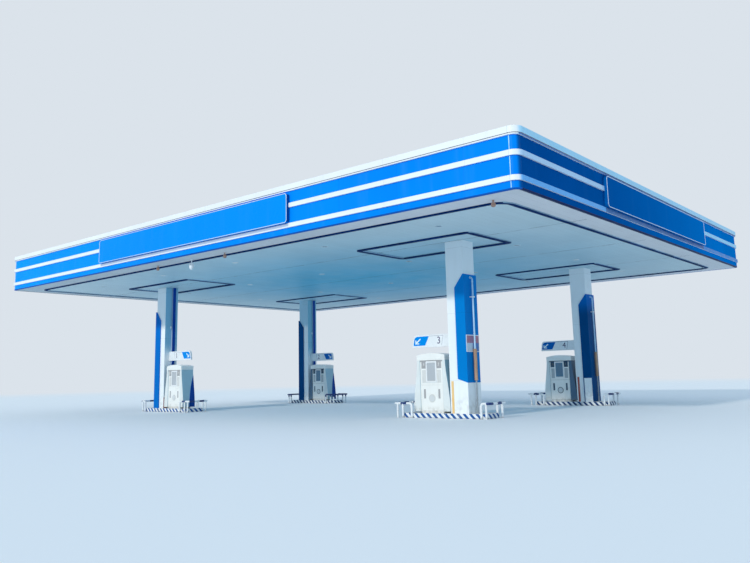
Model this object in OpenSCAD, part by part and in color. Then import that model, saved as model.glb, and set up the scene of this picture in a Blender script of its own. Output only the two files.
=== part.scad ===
// Filling station canopy: a flat roof with a deep banded fascia on four square columns,
// each standing on a raised island with a dispenser and two tube guards.
// Millimetres. The origin is at ground level under the middle of the roof.
// X runs along the front, Y from the front to the back, Z up.

/* [Roof] */
// Length of the roof along the front
roof_l = 30300; // [29000:100:33000]
// Depth of the roof from front to back
roof_w = 22000; // [20600:100:24000]
// Height of the ceiling above the ground
clear_h = 6500; // [5800:50:7500]
// Radius of the roof corners
corner_r = 230; // [200:5:260]
// Open seam between neighbouring panels
seam = 4; // [2:1:8]

/* [Fascia] */
// Height of the fascia panels
fascia_h = 1530; // [1500:10:1800]
// Thickness of the fascia panels
fascia_t = 100; // [90:5:130]
// How far the two stripes stand proud of the fascia
stripe_proud = 56; // [20:1:90]
// Height of the lower stripe above the ceiling
stripe_low_z = 235; // [150:5:240]
// Width of the lower stripe
stripe_low_h = 150; // [80:5:155]
// Height of the upper stripe above the ceiling
stripe_high_z = 945; // [700:5:1200]
// Width of the upper stripe
stripe_high_h = 155; // [80:5:220]
// Height of the thin lip under the coping
coping_lip_h = 50; // [30:5:80]
// Height of the coping band above the lip
coping_band_h = 190; // [120:10:260]
// How far the lip stands proud
coping_lip_proud = 55; // [30:5:75]
// How far the coping band stands proud
coping_band_proud = 80; // [60:5:130]
// Width of the coping from the fascia's outer face inwards
coping_in = 160; // [140:5:180]

/* [Sign boxes] */
// Length of the front sign box
sign_front_l = 12400; // [8000:20:16000]
// Length of the sign box on each side
sign_side_l = 10560; // [6000:20:14000]
// Height of a sign box
sign_h = 1055; // [900:5:1075]
// Height of a sign box above the ceiling
sign_z = 395; // [395:5:405]
// How far a sign box stands proud
sign_proud = 155; // [90:5:200]
// Corner radius of a sign box
sign_r = 120; // [40:5:250]

/* [Ceiling] */
// Thickness of the ceiling panels
ceiling_t = 40; // [25:5:80]
// Width of a ceiling bay, which is also the spacing of the lights
bay = 5310; // [4900:10:5800]
// Distance from the roof edge to the border strip
border_in = 990; // [900:5:1300]
// Width of the dark strip round the ceiling's border
border_w = 150; // [100:5:230]
// Width of the dark strips round the columns
strip_w = 230; // [120:5:280]
// Depth of the dark strips below the ceiling
strip_t = 35; // [10:1:45]
// Width of the fine line beside each dark strip
line_w = 24; // [12:1:40]
// Thickness of the fine line
line_t = 4; // [3:1:10]
// Gap between a dark strip and its fine line
line_gap = 70; // [40:5:100]
// Corner radius of the border strip
border_r = 600; // [400:20:900]
// Corner radius of the strip loops
strip_r = 280; // [260:10:500]
// Length of the strip loop around a column
loop_l = 5400; // [4600:20:6000]
// Width of the strip loop around a column
loop_w = 3140; // [2400:20:3600]
// Shift of each loop from its column towards the roof's middle
loop_shift = 1210; // [900:10:1500]
// Diameter of a ceiling light's lens
light_d = 250; // [150:5:320]
// Width of a ceiling light's rim
light_rim = 12; // [6:1:25]
// Thickness of a ceiling light's rim
light_lip = 6; // [3:1:12]

/* [Columns] */
// Distance of the columns from the middle, along the front
column_x = 9400; // [8800:50:9600]
// Distance of the columns from the middle, front to back
column_y = 5290; // [4900:10:5600]
// Side of a column's square cladding
column_w = 756; // [680:4:840]
// Side of the steel head on top of a column
head_w = 400; // [300:10:500]
// Thickness of the blue wrap
wrap_t = 50; // [20:2:70]
// Height of the wrap's top at the outer face
wrap_top = 5220; // [4900:10:5500]
// Height of the wrap's top at its inner edge
wrap_top_in = 4740; // [4200:10:4850]
// Height of the base panel at the outer face
base_top = 1270; // [1000:10:1320]
// Height of the base panel at its inner edge
base_top_in = 1410; // [1340:10:1700]
// Thickness of plates and strips fixed to a column
plate_t = 12; // [6:1:20]
// Height of the caution strips
marker_top = 1330; // [1000:10:1500]
// Width of the caution strips
marker_w = 90; // [50:5:120]
// Distance from a caution strip's middle to the column's middle
marker_x = 265; // [150:5:300]
// Width of the low red plate
kick_w = 230; // [150:10:320]
// Height of the low red plate
kick_h = 550; // [300:10:800]
// Bottom of the notice plate
notice_z = 2370; // [2200:10:2600]
// Height of the notice plate
notice_h = 620; // [400:10:700]

/* [Pipes and trunking] */
// Diameter of a downpipe
pipe_d = 62; // [50:2:90]
// Distance from the wrap's face to a downpipe's middle
pipe_off = 92; // [88:2:120]
// Height of a downpipe's outlet from the column
pipe_top = 5110; // [4900:10:5120]
// Diameter of the sleeve on a downpipe
sleeve_d = 126; // [112:2:160]
// Bottom of the sleeve
sleeve_z = 1345; // [800:5:1800]
// Length of the sleeve
sleeve_l = 1135; // [600:5:1500]
// Height of the single pipe bracket
bracket_z = 4362; // [3500:10:4700]
// Width of the cable trunking
trunk_w = 180; // [120:5:240]
// Depth of the cable trunking
trunk_t = 100; // [60:5:140]

/* [Number boards] */
// Length of a number board
board_l = 1890; // [1200:10:2400]
// Height of a number board
board_h = 470; // [300:10:560]
// Thickness of a number board
board_t = 80; // [60:5:150]
// Bottom of a number board
board_z = 2620; // [2560:10:3400]
// Lean of a number board's free end
board_lean = 56; // [20:2:120]
// Radius of a number board's upper free corner
board_r = 170; // [40:5:240]

/* [Islands and guards] */
// Reach of an island from its column towards the roof's middle
island_in = 2550; // [2400:10:2700]
// Reach of an island from its column outwards
island_out = 1150; // [1000:10:1300]
// Width of an island
island_w = 1000; // [940:10:1100]
// Height of an island
island_h = 180; // [120:5:200]
// Corner radius of an island
island_r = 120; // [60:5:300]
// Diameter of the guard tube
guard_d = 90; // [60:2:100]
// Height of the top of a guard
guard_h = 580; // [450:10:700]
// Bend radius of a guard's tube
guard_bend = 100; // [70:5:120]
// Gap between a guard's tube and the island's side
guard_gap = 0.3; // [0.3:0.1:10]
// Distance from the island's inner end to the inner guard's end
guard_in_reach = 310; // [220:10:400]
// Distance from the island's outer end to the outer guard's end
guard_out_reach = 210; // [180:10:300]
// Length of the inner guard's arms beside the island's straight side
lap_in = 380; // [320:10:480]
// Length of the outer guard's arms beside the island's straight side
lap_out = 20; // [10:5:60]
// Distance between the inner guard's corner leg and middle leg
leg_gap = 250; // [200:10:300]

/* [Dispensers] */
// Distance from a column's middle to its dispenser's middle
disp_x = 1235; // [1180:5:1400]
// Length of a dispenser's cabinet
disp_l = 1040; // [900:10:1060]
// Depth of a dispenser's cabinet
disp_w = 660; // [560:10:700]
// Height of a dispenser's plinth
plinth_h = 60; // [40:5:100]
// Inset of the plinth from the cabinet
plinth_in = 20; // [10:2:60]
// Height of a dispenser up to its head
cabinet_h = 1940; // [1880:10:2040]
// Height of a dispenser's head at its ends
disp_head_h = 190; // [180:10:280]
// Rise of the head's crest over its ends
disp_crest = 75; // [30:5:80]
// Length of a dispenser's head
disp_head_l = 1280; // [1160:10:1340]
// Depth of a dispenser's head
disp_head_w = 740; // [680:10:780]
// How far a cheek flares past the head at its foot
cheek_flare = 185; // [60:5:200]
// Depth of a cheek
cheek_w = 710; // [480:10:760]
// Thickness of the dark fin on a cheek
fin_t = 12; // [6:1:16]
// Width of the display glass
screen_w = 400; // [300:10:460]
// Height of the display glass
screen_h = 660; // [500:10:700]
// Bottom of the display glass above the island
screen_z = 1180; // [1120:10:1240]
// Thickness of the display glass
screen_t = 15; // [8:1:25]
// Side of the square nozzle panels
boot_w = 190; // [140:5:200]
// Depth of the nozzle panels' recess
boot_d = 15; // [8:1:30]
// Distance from the cabinet's middle to a nozzle panel's middle
boot_x = 340; // [340:5:380]
// Distance from the head down to the nozzle panels
boot_drop = 40; // [20:5:80]

/* [Cameras] */
// Distance from the roof's front edge to the cameras
camera_in = 760; // [600:10:900]
// Diameter of the dome camera
dome_d = 200; // [140:5:260]
// Place of the dome camera along the front
dome_x = -470; // [-2000:10:1000]
// Length of the dome camera's stem
dome_stem = 150; // [80:10:300]
// Diameter of a wrapped camera
wrapped_d = 150; // [110:5:200]
// How far a wrapped camera hangs below the ceiling
wrapped_h = 210; // [150:10:300]
// Length of a wrapped camera's stem
wrapped_stem = 60; // [30:5:100]
// Diameter of the camera stems
stem_d = 50; // [30:2:80]

/* [Roof structure] */
// Height of the girders above the ceiling panels
girder_lift = 310; // [240:10:400]
// Depth of a girder
girder_h = 400; // [300:10:500]
// Width of a girder
girder_b = 200; // [150:10:300]
// Thickness of the girder and beam flanges
flange_t = 20; // [12:1:30]
// Thickness of the girder and beam webs
web_t = 14; // [8:1:20]
// Height of a cross beam under the gutter
beam_low = 150; // [120:5:200]
// Width of a cross beam
beam_b = 180; // [120:10:240]
// Distance from the roof edge to the outer cross beams
beam_edge = 1050; // [900:10:1400]
// Width of the gutter
gutter_w = 400; // [300:10:500]
// Depth of the gutter
gutter_h = 270; // [240:5:275]
// Thickness of the gutter sheet
gutter_t = 5; // [3:1:8]
// Height from the gutter's seat to the purlins' seat
purlin_lift = 160; // [150:5:200]
// Fall of the roof from the fascia to the gutter
fall = 150; // [80:10:160]
// Depth of a purlin
purlin_h = 120; // [115:5:130]
// Width of a purlin
purlin_b = 60; // [40:5:90]
// Number of purlins on each side of the gutter
purlins_each = 6; // [4:1:9]
// Spacing of the roof sheet's ribs
rib_pitch = 500; // [300:20:700]
// Height of the roof sheet's ribs
rib_h = 45; // [25:5:50]
// Thickness of the roof sheet
deck_t = 6; // [3:1:8]
// Height of the ceiling rails
rail_h = 60; // [40:5:100]
// Width of the ceiling rails and hangers
rail_b = 40; // [30:2:60]
// Distance from the column's middle to the ceiling rails beside it
rail_off = 700; // [600:10:900]
// Distance from the roof edge to the outer ceiling rails
rail_edge = 700; // [400:10:1000]

/* [Hidden] */
$fn = 48;
// Small overrun of every cutter past the face it cuts
cut = 1;
// Clearance between curved faces that meet
fit = 0.4;
// Clearance around a column in the ceiling
hole_gap = 5;
// Gap between the ends of roof members and the fascia
end_gap = 20;
// Steps in a rounded corner of a flat outline
arc_steps = 6;
// Overhang of the roof sheet into the gutter
eaves = 60;
// Share of a rib's spacing taken by its crest, and by each of its two flanks
crest_share = 0.3;
flank_share = 0.1;

column_half = column_w / 2;
wrap_out = column_half + wrap_t;
corner_x = roof_l / 2 - corner_r;
corner_y = roof_w / 2 - corner_r;
inner_l = roof_l - 2 * fascia_t;
inner_w = roof_w - 2 * fascia_t;
fascia_top = clear_h + fascia_h;
ceiling_top = clear_h + ceiling_t;
girder_z = ceiling_top + girder_lift;
beam_z = girder_z + girder_h;
gutter_z = beam_z + beam_low;
purlin_z = gutter_z + purlin_lift;
gutter_side = gutter_w / 2 + end_gap;
run_y = inner_w / 2 - gutter_side;
fall_angle = atan(fall / run_y);
fall_l = run_y / cos(fall_angle);
member_l = inner_l - 2 * end_gap;
beam_half = [column_x / 2, column_x, roof_l / 2 - beam_edge];
beam_places = concat([0], beam_half, -beam_half);
rail_half = [column_y - rail_off, column_y + rail_off, roof_w / 2 - rail_edge];
rail_places = concat([0], rail_half, -rail_half);
bays = floor(roof_w / bay);
lights_each = floor((roof_l / 2 - border_in - strip_w - light_d) / bay);
ribs = floor(member_l / rib_pitch);
deck_l = ribs * rib_pitch;
pipe_x = wrap_out + pipe_off;
guard_y = island_w / 2 + guard_gap + guard_d / 2;
guard_z = guard_h - guard_d / 2;
leg_d = guard_d - 8;
corner_leg = guard_bend + leg_d / 2 + 5;
screw_d = 40;

// Shapes used by many pieces

module box(x0, x1, y0, y1, z0, z1) {
    translate([x0, y0, z0]) cube([x1 - x0, y1 - y0, z1 - z0]);
}

module block(l, w, h, z = 0) {
    translate([-l / 2, -w / 2, z]) cube([l, w, h]);
}

module rounded_block(l, w, h, r) {
    block(l - 2 * r, w, h);
    block(l, w - 2 * r, h);
    for (sx = [-1, 1], sy = [-1, 1])
        translate([sx * (l / 2 - r), sy * (w / 2 - r), 0]) cylinder(r = r, h = h);
}

module strip_loop(l, w, h, r, strip) {
    difference() {
        rounded_block(l, w, h, r);
        translate([0, 0, -cut])
            rounded_block(l - 2 * strip, w - 2 * strip, h + 2 * cut, r - strip);
    }
}

module both_x() {
    for (s = [0, 1]) mirror([s, 0, 0]) children();
}

module both_y() {
    for (s = [0, 1]) mirror([0, s, 0]) children();
}

module four_corners() {
    both_x() both_y() children();
}

// Places children at a column, with local +X pointing out of the roof's middle
module at_column(sx, sy) {
    translate([sx * column_x, sy * column_y, 0])
        mirror([sx < 0 ? 1 : 0, 0, 0]) children();
}

module at_columns() {
    for (sx = [-1, 1], sy = [-1, 1]) at_column(sx, sy) children();
}

// Places children on a sloping half of the roof: Y runs up the slope, Z is square to it
module on_fall(side) {
    mirror([0, side < 0 ? 1 : 0, 0])
        translate([0, gutter_side, purlin_z]) rotate([fall_angle, 0, 0]) children();
}

// An outline in X and Z, extruded along Y and centred on it
module upright(width) {
    translate([0, width / 2, 0]) rotate([90, 0, 0]) linear_extrude(width) children();
}

function unit(v) = v / norm(v);

// Arc points that round the corner p between its neighbours a and b
function round_corner(a, p, b, r) =
    let (
        u = unit(a - p),
        v = unit(b - p),
        half = acos(u * v) / 2,
        middle = p + unit(u + v) * r / sin(half),
        from = p + u * r / tan(half) - middle,
        to = p + v * r / tan(half) - middle,
        start = atan2(from.y, from.x),
        turn = atan2(from.x * to.y - from.y * to.x, from * to)
    )
    [for (i = [0:arc_steps])
        let (t = start + turn * i / arc_steps) middle + r * [cos(t), sin(t)]];

// Fascia, coping, stripes and sign boxes

module fascia_long() {
    color("dodgerblue")
        box(-corner_x + seam / 2, corner_x - seam / 2,
            -roof_w / 2, -roof_w / 2 + fascia_t, clear_h, fascia_top);
}

module fascia_short() {
    color("royalblue")
        box(roof_l / 2 - fascia_t, roof_l / 2,
            -corner_y + seam / 2, corner_y - seam / 2, clear_h, fascia_top);
}

module fascia_front() {
    fascia_long();
}

module fascia_back() {
    mirror([0, 1, 0]) fascia_long();
}

module fascia_right() {
    fascia_short();
}

module fascia_left() {
    mirror([1, 0, 0]) fascia_short();
}

// A corner with a round outside and a square inside
module corner_solid(proud, inward, z, h) {
    difference() {
        intersection() {
            translate([corner_x, corner_y, z]) cylinder(r = corner_r + proud, h = h);
            translate([corner_x + seam / 2, corner_y + seam / 2, z - cut])
                cube([2 * corner_r, 2 * corner_r, h + 2 * cut]);
        }
        box(0, roof_l / 2 - inward, 0, roof_w / 2 - inward, z - cut, z + h + cut);
    }
}

module fascia_corners() {
    color("dodgerblue") four_corners() corner_solid(0, fascia_t, clear_h, fascia_h);
}

module coping_step(proud, z, h) {
    both_y() box(-corner_x + seam / 2, corner_x - seam / 2,
                 roof_w / 2 - coping_in, roof_w / 2 + proud, z, z + h);
    both_x() box(roof_l / 2 - coping_in, roof_l / 2 + proud,
                 -corner_y + seam / 2, corner_y - seam / 2, z, z + h);
    four_corners() corner_solid(proud, coping_in, z, h);
}

module coping() {
    color("white") {
        coping_step(coping_lip_proud, fascia_top, coping_lip_h);
        coping_step(coping_band_proud, fascia_top + coping_lip_h, coping_band_h);
    }
}

module stripe_corners(z, h) {
    four_corners() intersection() {
        translate([corner_x, corner_y, z]) difference() {
            cylinder(r = corner_r + stripe_proud, h = h);
            translate([0, 0, -cut]) cylinder(r = corner_r + fit, h = h + 2 * cut);
        }
        translate([corner_x + seam / 2, corner_y + seam / 2, z - cut])
            cube([2 * corner_r, 2 * corner_r, h + 2 * cut]);
    }
}

module stripe_lower() {
    z = clear_h + stripe_low_z;
    color("white") {
        both_y() box(-corner_x + seam / 2, corner_x - seam / 2,
                     roof_w / 2, roof_w / 2 + stripe_proud, z, z + stripe_low_h);
        both_x() box(roof_l / 2, roof_l / 2 + stripe_proud,
                     -corner_y + seam / 2, corner_y - seam / 2, z, z + stripe_low_h);
        stripe_corners(z, stripe_low_h);
    }
}

// The upper stripe stops at the sign boxes and runs through along the back
module stripe_upper() {
    z = clear_h + stripe_high_z;
    top = z + stripe_high_h;
    color("white") {
        box(-corner_x + seam / 2, corner_x - seam / 2,
            roof_w / 2, roof_w / 2 + stripe_proud, z, top);
        both_x() box(sign_front_l / 2 + seam, corner_x - seam / 2,
                     -roof_w / 2 - stripe_proud, -roof_w / 2, z, top);
        four_corners() box(roof_l / 2, roof_l / 2 + stripe_proud,
                           sign_side_l / 2 + seam, corner_y - seam / 2, z, top);
        stripe_corners(z, stripe_high_h);
    }
}

module sign_box_front() {
    color("dodgerblue")
        translate([0, -roof_w / 2, clear_h + sign_z + sign_h / 2])
            rotate([90, 0, 0]) rounded_block(sign_front_l, sign_h, sign_proud, sign_r);
}

module sign_box_side() {
    color("royalblue")
        translate([roof_l / 2, 0, clear_h + sign_z + sign_h / 2])
            rotate([90, 0, 90]) rounded_block(sign_side_l, sign_h, sign_proud, sign_r);
}

module sign_box_right() {
    sign_box_side();
}

module sign_box_left() {
    mirror([1, 0, 0]) sign_box_side();
}

// Ceiling and what is fixed to it

module at_lights() {
    for (i = [-lights_each:lights_each], j = [0:bays - 1])
        translate([i * bay, -roof_w / 2 + (j + 0.5) * bay, clear_h]) children();
}

module ceiling() {
    color("lightcyan") difference() {
        for (i = [0:bays - 1])
            box(-inner_l / 2, inner_l / 2,
                i == 0 ? -inner_w / 2 : -roof_w / 2 + i * bay + seam / 2,
                i == bays - 1 ? inner_w / 2 : -roof_w / 2 + (i + 1) * bay - seam / 2,
                clear_h, ceiling_top);
        at_columns() block(column_w + 2 * hole_gap, column_w + 2 * hole_gap,
                           ceiling_t + 2 * cut, clear_h - cut);
        at_lights() translate([0, 0, -cut])
            cylinder(d = light_d + 2 * fit, h = ceiling_t + 2 * cut);
    }
}

// A dark strip with a fine line inside it, under the ceiling
module dark_strip(l, w, r, strip) {
    line_in = strip + line_gap;
    line_r = max(r - line_in, 2 * line_w);
    translate([0, 0, clear_h - strip_t]) strip_loop(l, w, strip_t, r, strip);
    translate([0, 0, clear_h - line_t])
        strip_loop(l - 2 * line_in, w - 2 * line_in, line_t, line_r, line_w);
}

module ceiling_border() {
    color("navy") dark_strip(roof_l - 2 * border_in, roof_w - 2 * border_in, border_r, border_w);
}

module column_loops() {
    color("navy") at_columns()
        translate([-loop_shift, 0, 0]) dark_strip(loop_l, loop_w, strip_r, strip_w);
}

module ceiling_lights() {
    color("white") at_lights() {
        translate([0, 0, -light_lip]) cylinder(d = light_d + 2 * light_rim, h = light_lip);
        cylinder(d = light_d, h = ceiling_t);
    }
}

module at_camera(x) {
    translate([x, -roof_w / 2 + camera_in, clear_h]) children();
}

module dome_camera() {
    color("white") at_camera(dome_x) {
        translate([0, 0, -dome_stem]) cylinder(d = stem_d, h = dome_stem);
        translate([0, 0, -dome_stem - dome_d]) cylinder(d = dome_d, h = dome_d);
        translate([0, 0, -dome_stem - dome_d]) sphere(d = dome_d);
    }
}

// Places of the wrapped cameras along the front
wrapped_places = [-2880, 1690, 13890];

module wrapped_cameras() {
    color("saddlebrown") for (x = wrapped_places) at_camera(x) {
        translate([0, 0, -wrapped_h]) cylinder(d = wrapped_d, h = wrapped_h - wrapped_stem);
        translate([0, 0, -wrapped_stem]) cylinder(d = stem_d, h = wrapped_stem);
    }
}

// Roof sheet, gutter and steelwork

// Outline of the ribbed sheet, lifted by its thickness for the upper face
function rib_line(lift) =
    let (
        crest = crest_share * rib_pitch,
        flank = flank_share * rib_pitch,
        flat = (rib_pitch - crest - 2 * flank) / 2
    )
    [for (i = [0:ribs - 1])
        for (p = [[flat, 0], [flat + flank, rib_h],
                  [flat + flank + crest, rib_h], [rib_pitch - flat, 0]])
            [-deck_l / 2 + i * rib_pitch + p.x, p.y + lift]];

function backwards(list) = [for (i = [len(list) - 1:-1:0]) list[i]];

module roof_sheet() {
    outline = concat([[-deck_l / 2, 0]], rib_line(0), [[deck_l / 2, 0]],
                     [[deck_l / 2, deck_t]], backwards(rib_line(deck_t)),
                     [[-deck_l / 2, deck_t]]);
    length = fall_l - end_gap + eaves;
    color("lightgray") translate([0, length - eaves, purlin_h])
        rotate([90, 0, 0]) linear_extrude(length) polygon(outline);
}

module roof_deck_front() {
    on_fall(-1) roof_sheet();
}

module roof_deck_back() {
    on_fall(1) roof_sheet();
}

module roof_gutter() {
    color("silver") translate([0, 0, gutter_z]) difference() {
        block(member_l, gutter_w, gutter_h);
        block(member_l - 2 * gutter_t, gutter_w - 2 * gutter_t, gutter_h, gutter_t);
    }
}

module girders() {
    color("gray") both_y() translate([0, column_y, girder_z]) {
        block(inner_l, girder_b, flange_t);
        block(inner_l, web_t, girder_h);
        block(inner_l, girder_b, flange_t, girder_h - flange_t);
    }
}

// Half of a cross beam's outline in Y and Z, from the gutter seat to the fascia
function beam_outline(depth) = [
    [gutter_side, purlin_z - depth],
    [gutter_side, purlin_z],
    [inner_w / 2, purlin_z + fall],
    [inner_w / 2, purlin_z + fall - depth]
];

module cross_beam() {
    block(beam_b, inner_w, flange_t, beam_z);
    block(web_t, inner_w, beam_low, beam_z);
    block(beam_b, 2 * gutter_side, flange_t, gutter_z - flange_t);
    both_y() {
        rotate([90, 0, 90]) translate([0, 0, -beam_b / 2])
            linear_extrude(beam_b) polygon(beam_outline(flange_t));
        rotate([90, 0, 90]) translate([0, 0, -web_t / 2])
            linear_extrude(web_t) polygon([
                [gutter_side, beam_z], [gutter_side, purlin_z],
                [inner_w / 2, purlin_z + fall], [inner_w / 2, beam_z]]);
    }
}

module cross_beams() {
    color("gray") for (x = beam_places) translate([x, 0, 0]) cross_beam();
}

module purlins() {
    first = purlin_b;
    pitch = (fall_l - 3 * purlin_b - end_gap) / (purlins_each - 1);
    color("silver") for (side = [-1, 1], i = [0:purlins_each - 1])
        on_fall(side) translate([0, first + i * pitch, 0])
            block(member_l, purlin_b, purlin_h);
}

module ceiling_rails() {
    color("silver") for (y = rail_places)
        translate([0, y, ceiling_top]) block(member_l, rail_b, rail_h);
}

module ceiling_hangers() {
    color("silver") for (x = beam_places, y = rail_places)
        translate([x, y, 0])
            block(rail_b, rail_b, beam_z - ceiling_top - rail_h, ceiling_top + rail_h);
}

// Columns and what is fixed to them

module column(sx, sy) {
    color("white") at_column(sx, sy) {
        block(column_w, column_w, ceiling_top - island_h, island_h);
        block(head_w, head_w, girder_z - ceiling_top, ceiling_top);
    }
}

module column_front_left() {
    column(-1, -1);
}

module column_front_right() {
    column(1, -1);
}

module column_back_left() {
    column(-1, 1);
}

module column_back_right() {
    column(1, 1);
}

// A cladding around the outer half of a column, with a sloped top and bottom edge
module half_wrap(bottom_in, bottom_out, top_in, top_out) {
    difference() {
        upright(2 * wrap_out) polygon([
            [0, bottom_in], [wrap_out, bottom_out],
            [wrap_out, top_out], [column_half, top_out], [0, top_in]]);
        block(column_w, column_w, clear_h);
    }
}

// Three wraps run down to the island, the front right one stops above its base panel
module column_wraps() {
    color("blue") {
        at_column(1, -1) half_wrap(base_top_in, base_top, wrap_top_in, wrap_top);
        for (c = [[-1, -1], [-1, 1], [1, 1]])
            at_column(c.x, c.y) half_wrap(island_h, island_h, wrap_top_in, wrap_top);
    }
}

module base_panels() {
    color("whitesmoke") {
        at_column(1, -1) difference() {
            upright(2 * wrap_out) polygon([
                [0, island_h], [wrap_out, island_h],
                [wrap_out, base_top - seam], [0, base_top_in - seam]]);
            block(column_w, column_w, clear_h);
        }
        at_column(1, 1) box(wrap_t, wrap_out - plate_t, -wrap_out - plate_t, -wrap_out,
                            island_h, base_top);
    }
}

// A caution strip on the front face of each right column, and a low red plate
module column_markers() {
    for (sy = [-1, 1])
        color(sy < 0 ? "sandybrown" : "firebrick") at_column(1, sy)
            box(-marker_x - marker_w / 2, -marker_x + marker_w / 2,
                -column_half - plate_t, -column_half, island_h, marker_top);
    color("firebrick") at_column(-1, -1)
        box(-column_half - plate_t, -column_half,
            -column_half, -column_half + kick_w, island_h, island_h + kick_h);
}

module notice_plate() {
    color("lightpink") at_column(1, -1)
        box(wrap_out, wrap_out + plate_t, -wrap_out, wrap_out,
            notice_z, notice_z + notice_h);
}

// A pipe that leaves the column's wrap, turns down and ends on the island
module downpipes() {
    color("white") at_columns() {
        translate([pipe_x, 0, island_h]) cylinder(d = pipe_d, h = pipe_top - island_h);
        translate([wrap_out, 0, pipe_top]) rotate([0, 90, 0])
            cylinder(d = pipe_d, h = pipe_off);
        translate([pipe_x, 0, pipe_top]) sphere(d = pipe_d);
    }
}

module pipe_sleeves() {
    color("tan") at_columns() translate([pipe_x, 0, sleeve_z]) difference() {
        cylinder(d = sleeve_d, h = sleeve_l);
        translate([0, 0, -cut]) cylinder(d = pipe_d + 2 * fit, h = sleeve_l + 2 * cut);
    }
}

// A clamp block that reaches from the wrap round the pipe
module pipe_brackets() {
    width = pipe_d + 2 * screw_d;
    color("white") at_columns() translate([0, 0, bracket_z]) difference() {
        box(wrap_out, pipe_x + pipe_d / 2 + 10, -width / 2, width / 2, 0, screw_d);
        translate([pipe_x, 0, -cut]) cylinder(d = pipe_d + 2 * fit, h = screw_d + 2 * cut);
    }
}

module cable_trunking() {
    bottom = island_h + cabinet_h + disp_head_h;
    color("midnightblue") at_columns()
        box(-column_half - trunk_t, -column_half, 0, trunk_w, bottom, clear_h);
}

// A board that reaches from the column over its dispenser, with a leaning free end
module number_boards() {
    root = -column_half;
    tip = root - board_l;
    high = board_z + board_h;
    color("white") at_columns() translate([0, -board_t / 2, 0])
        upright(board_t) polygon(concat(
            [[root, board_z], [root, high]],
            round_corner([root, high], [tip + board_lean, high], [tip, board_z], board_r),
            [[tip, board_z]]));
}

// Islands and guards

module islands() {
    color("lightgray") at_columns()
        translate([(island_out - island_in) / 2, 0, 0])
            rounded_block(island_in + island_out, island_w, island_h, island_r);
}

module bend_quarter() {
    rotate_extrude(angle = 90) translate([guard_bend, 0]) circle(d = guard_d);
}

// A guard in plan like a U, with its closed end at local X = 0 and its arms along -X
module guard(reach, lap, legs) {
    side = guard_y;
    arm = reach + island_r + lap - guard_bend;
    straight = arm - guard_bend;
    both_y() {
        translate([0, 0, guard_z]) rotate([-90, 0, 0])
            cylinder(d = guard_d, h = side - guard_bend);
        translate([-guard_bend, side - guard_bend, guard_z]) bend_quarter();
        translate([-guard_bend, side, guard_z]) rotate([0, -90, 0])
            cylinder(d = guard_d, h = straight);
        translate([-arm, side, guard_z - guard_bend]) rotate([-90, 0, 0])
            rotate([0, 0, 180]) bend_quarter();
        translate([-arm - guard_bend, side, 0])
            cylinder(d = guard_d, h = guard_z - guard_bend);
        for (x = legs) translate([-x, side, 0]) cylinder(d = leg_d, h = guard_z);
    }
}

module guards_inner() {
    color("white") at_columns() translate([-island_in - guard_in_reach, 0, 0])
        mirror([1, 0, 0])
            guard(guard_in_reach, lap_in, [corner_leg, corner_leg + leg_gap]);
}

module guards_outer() {
    color("white") at_columns() translate([island_out + guard_out_reach, 0, 0])
        guard(guard_out_reach, lap_out, [corner_leg]);
}

// Dispensers

module at_dispenser(sx, sy) {
    at_column(sx, sy) translate([-disp_x, 0, island_h]) children();
}

module at_dispensers() {
    for (sx = [-1, 1], sy = [-1, 1]) at_dispenser(sx, sy) children();
}

module dispenser(sx, sy) {
    boot_z = cabinet_h - boot_drop - boot_w;
    color("white") at_dispenser(sx, sy) difference() {
        union() {
            block(disp_l - 2 * plinth_in, disp_w - 2 * plinth_in, plinth_h);
            block(disp_l, disp_w, cabinet_h - plinth_h, plinth_h);
        }
        both_x() both_y() box(boot_x - boot_w / 2, boot_x + boot_w / 2,
                              disp_w / 2 - boot_d, disp_w / 2 + cut,
                              boot_z, boot_z + boot_w);
    }
}

module dispenser_front_left() {
    dispenser(-1, -1);
}

module dispenser_front_right() {
    dispenser(1, -1);
}

module dispenser_back_left() {
    dispenser(-1, 1);
}

module dispenser_back_right() {
    dispenser(1, 1);
}

// The curved outer edge of a cheek, moved outwards by a skin's thickness
function cheek_edge(skin) = [for (i = [0:10])
    let (t = i / 10)
    [disp_head_l / 2 + cheek_flare * pow(sin(90 * (1 - t)), 1.6) + skin,
     plinth_h + (cabinet_h - plinth_h) * t]];

module dispenser_cheeks() {
    color("lightblue") at_dispensers() both_x()
        upright(cheek_w) polygon(concat(
            [[disp_l / 2, plinth_h]], cheek_edge(0), [[disp_l / 2, cabinet_h]]));
}

// A dark skin on the cheek that faces the island's inner end, widening towards its foot
module dispenser_fins() {
    reach = 0.85 * cabinet_h;
    color("navy") at_dispensers() intersection() {
        mirror([1, 0, 0]) upright(cheek_w)
            polygon(concat(cheek_edge(0), backwards(cheek_edge(fin_t))));
        rotate([90, 0, 90]) translate([0, 0, -disp_head_l])
            linear_extrude(2 * disp_head_l) polygon(concat(
                [[cheek_w / 2, plinth_h]],
                [for (i = [0:8]) let (t = i / 8)
                    [cheek_w / 2 * (0.06 + 0.94 * t * t), plinth_h + (reach - plinth_h) * t]]));
    }
}

// The head has a crest in its middle, an arc through the two ends
module dispenser_heads() {
    span = disp_head_l / 2;
    crest_r = (span * span + disp_crest * disp_crest) / (2 * disp_crest);
    top = disp_head_h + disp_crest;
    color("white") at_dispensers() translate([0, 0, cabinet_h]) intersection() {
        block(disp_head_l, disp_head_w, top + cut);
        translate([0, disp_head_w, top - crest_r]) rotate([90, 0, 0])
            cylinder(r = crest_r, h = 2 * disp_head_w, $fn = 200);
    }
}

module dispenser_screens() {
    color("slategray") at_dispensers() both_y()
        box(-screen_w / 2, screen_w / 2, disp_w / 2, disp_w / 2 + screen_t,
            screen_z, screen_z + screen_h);
}

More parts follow.
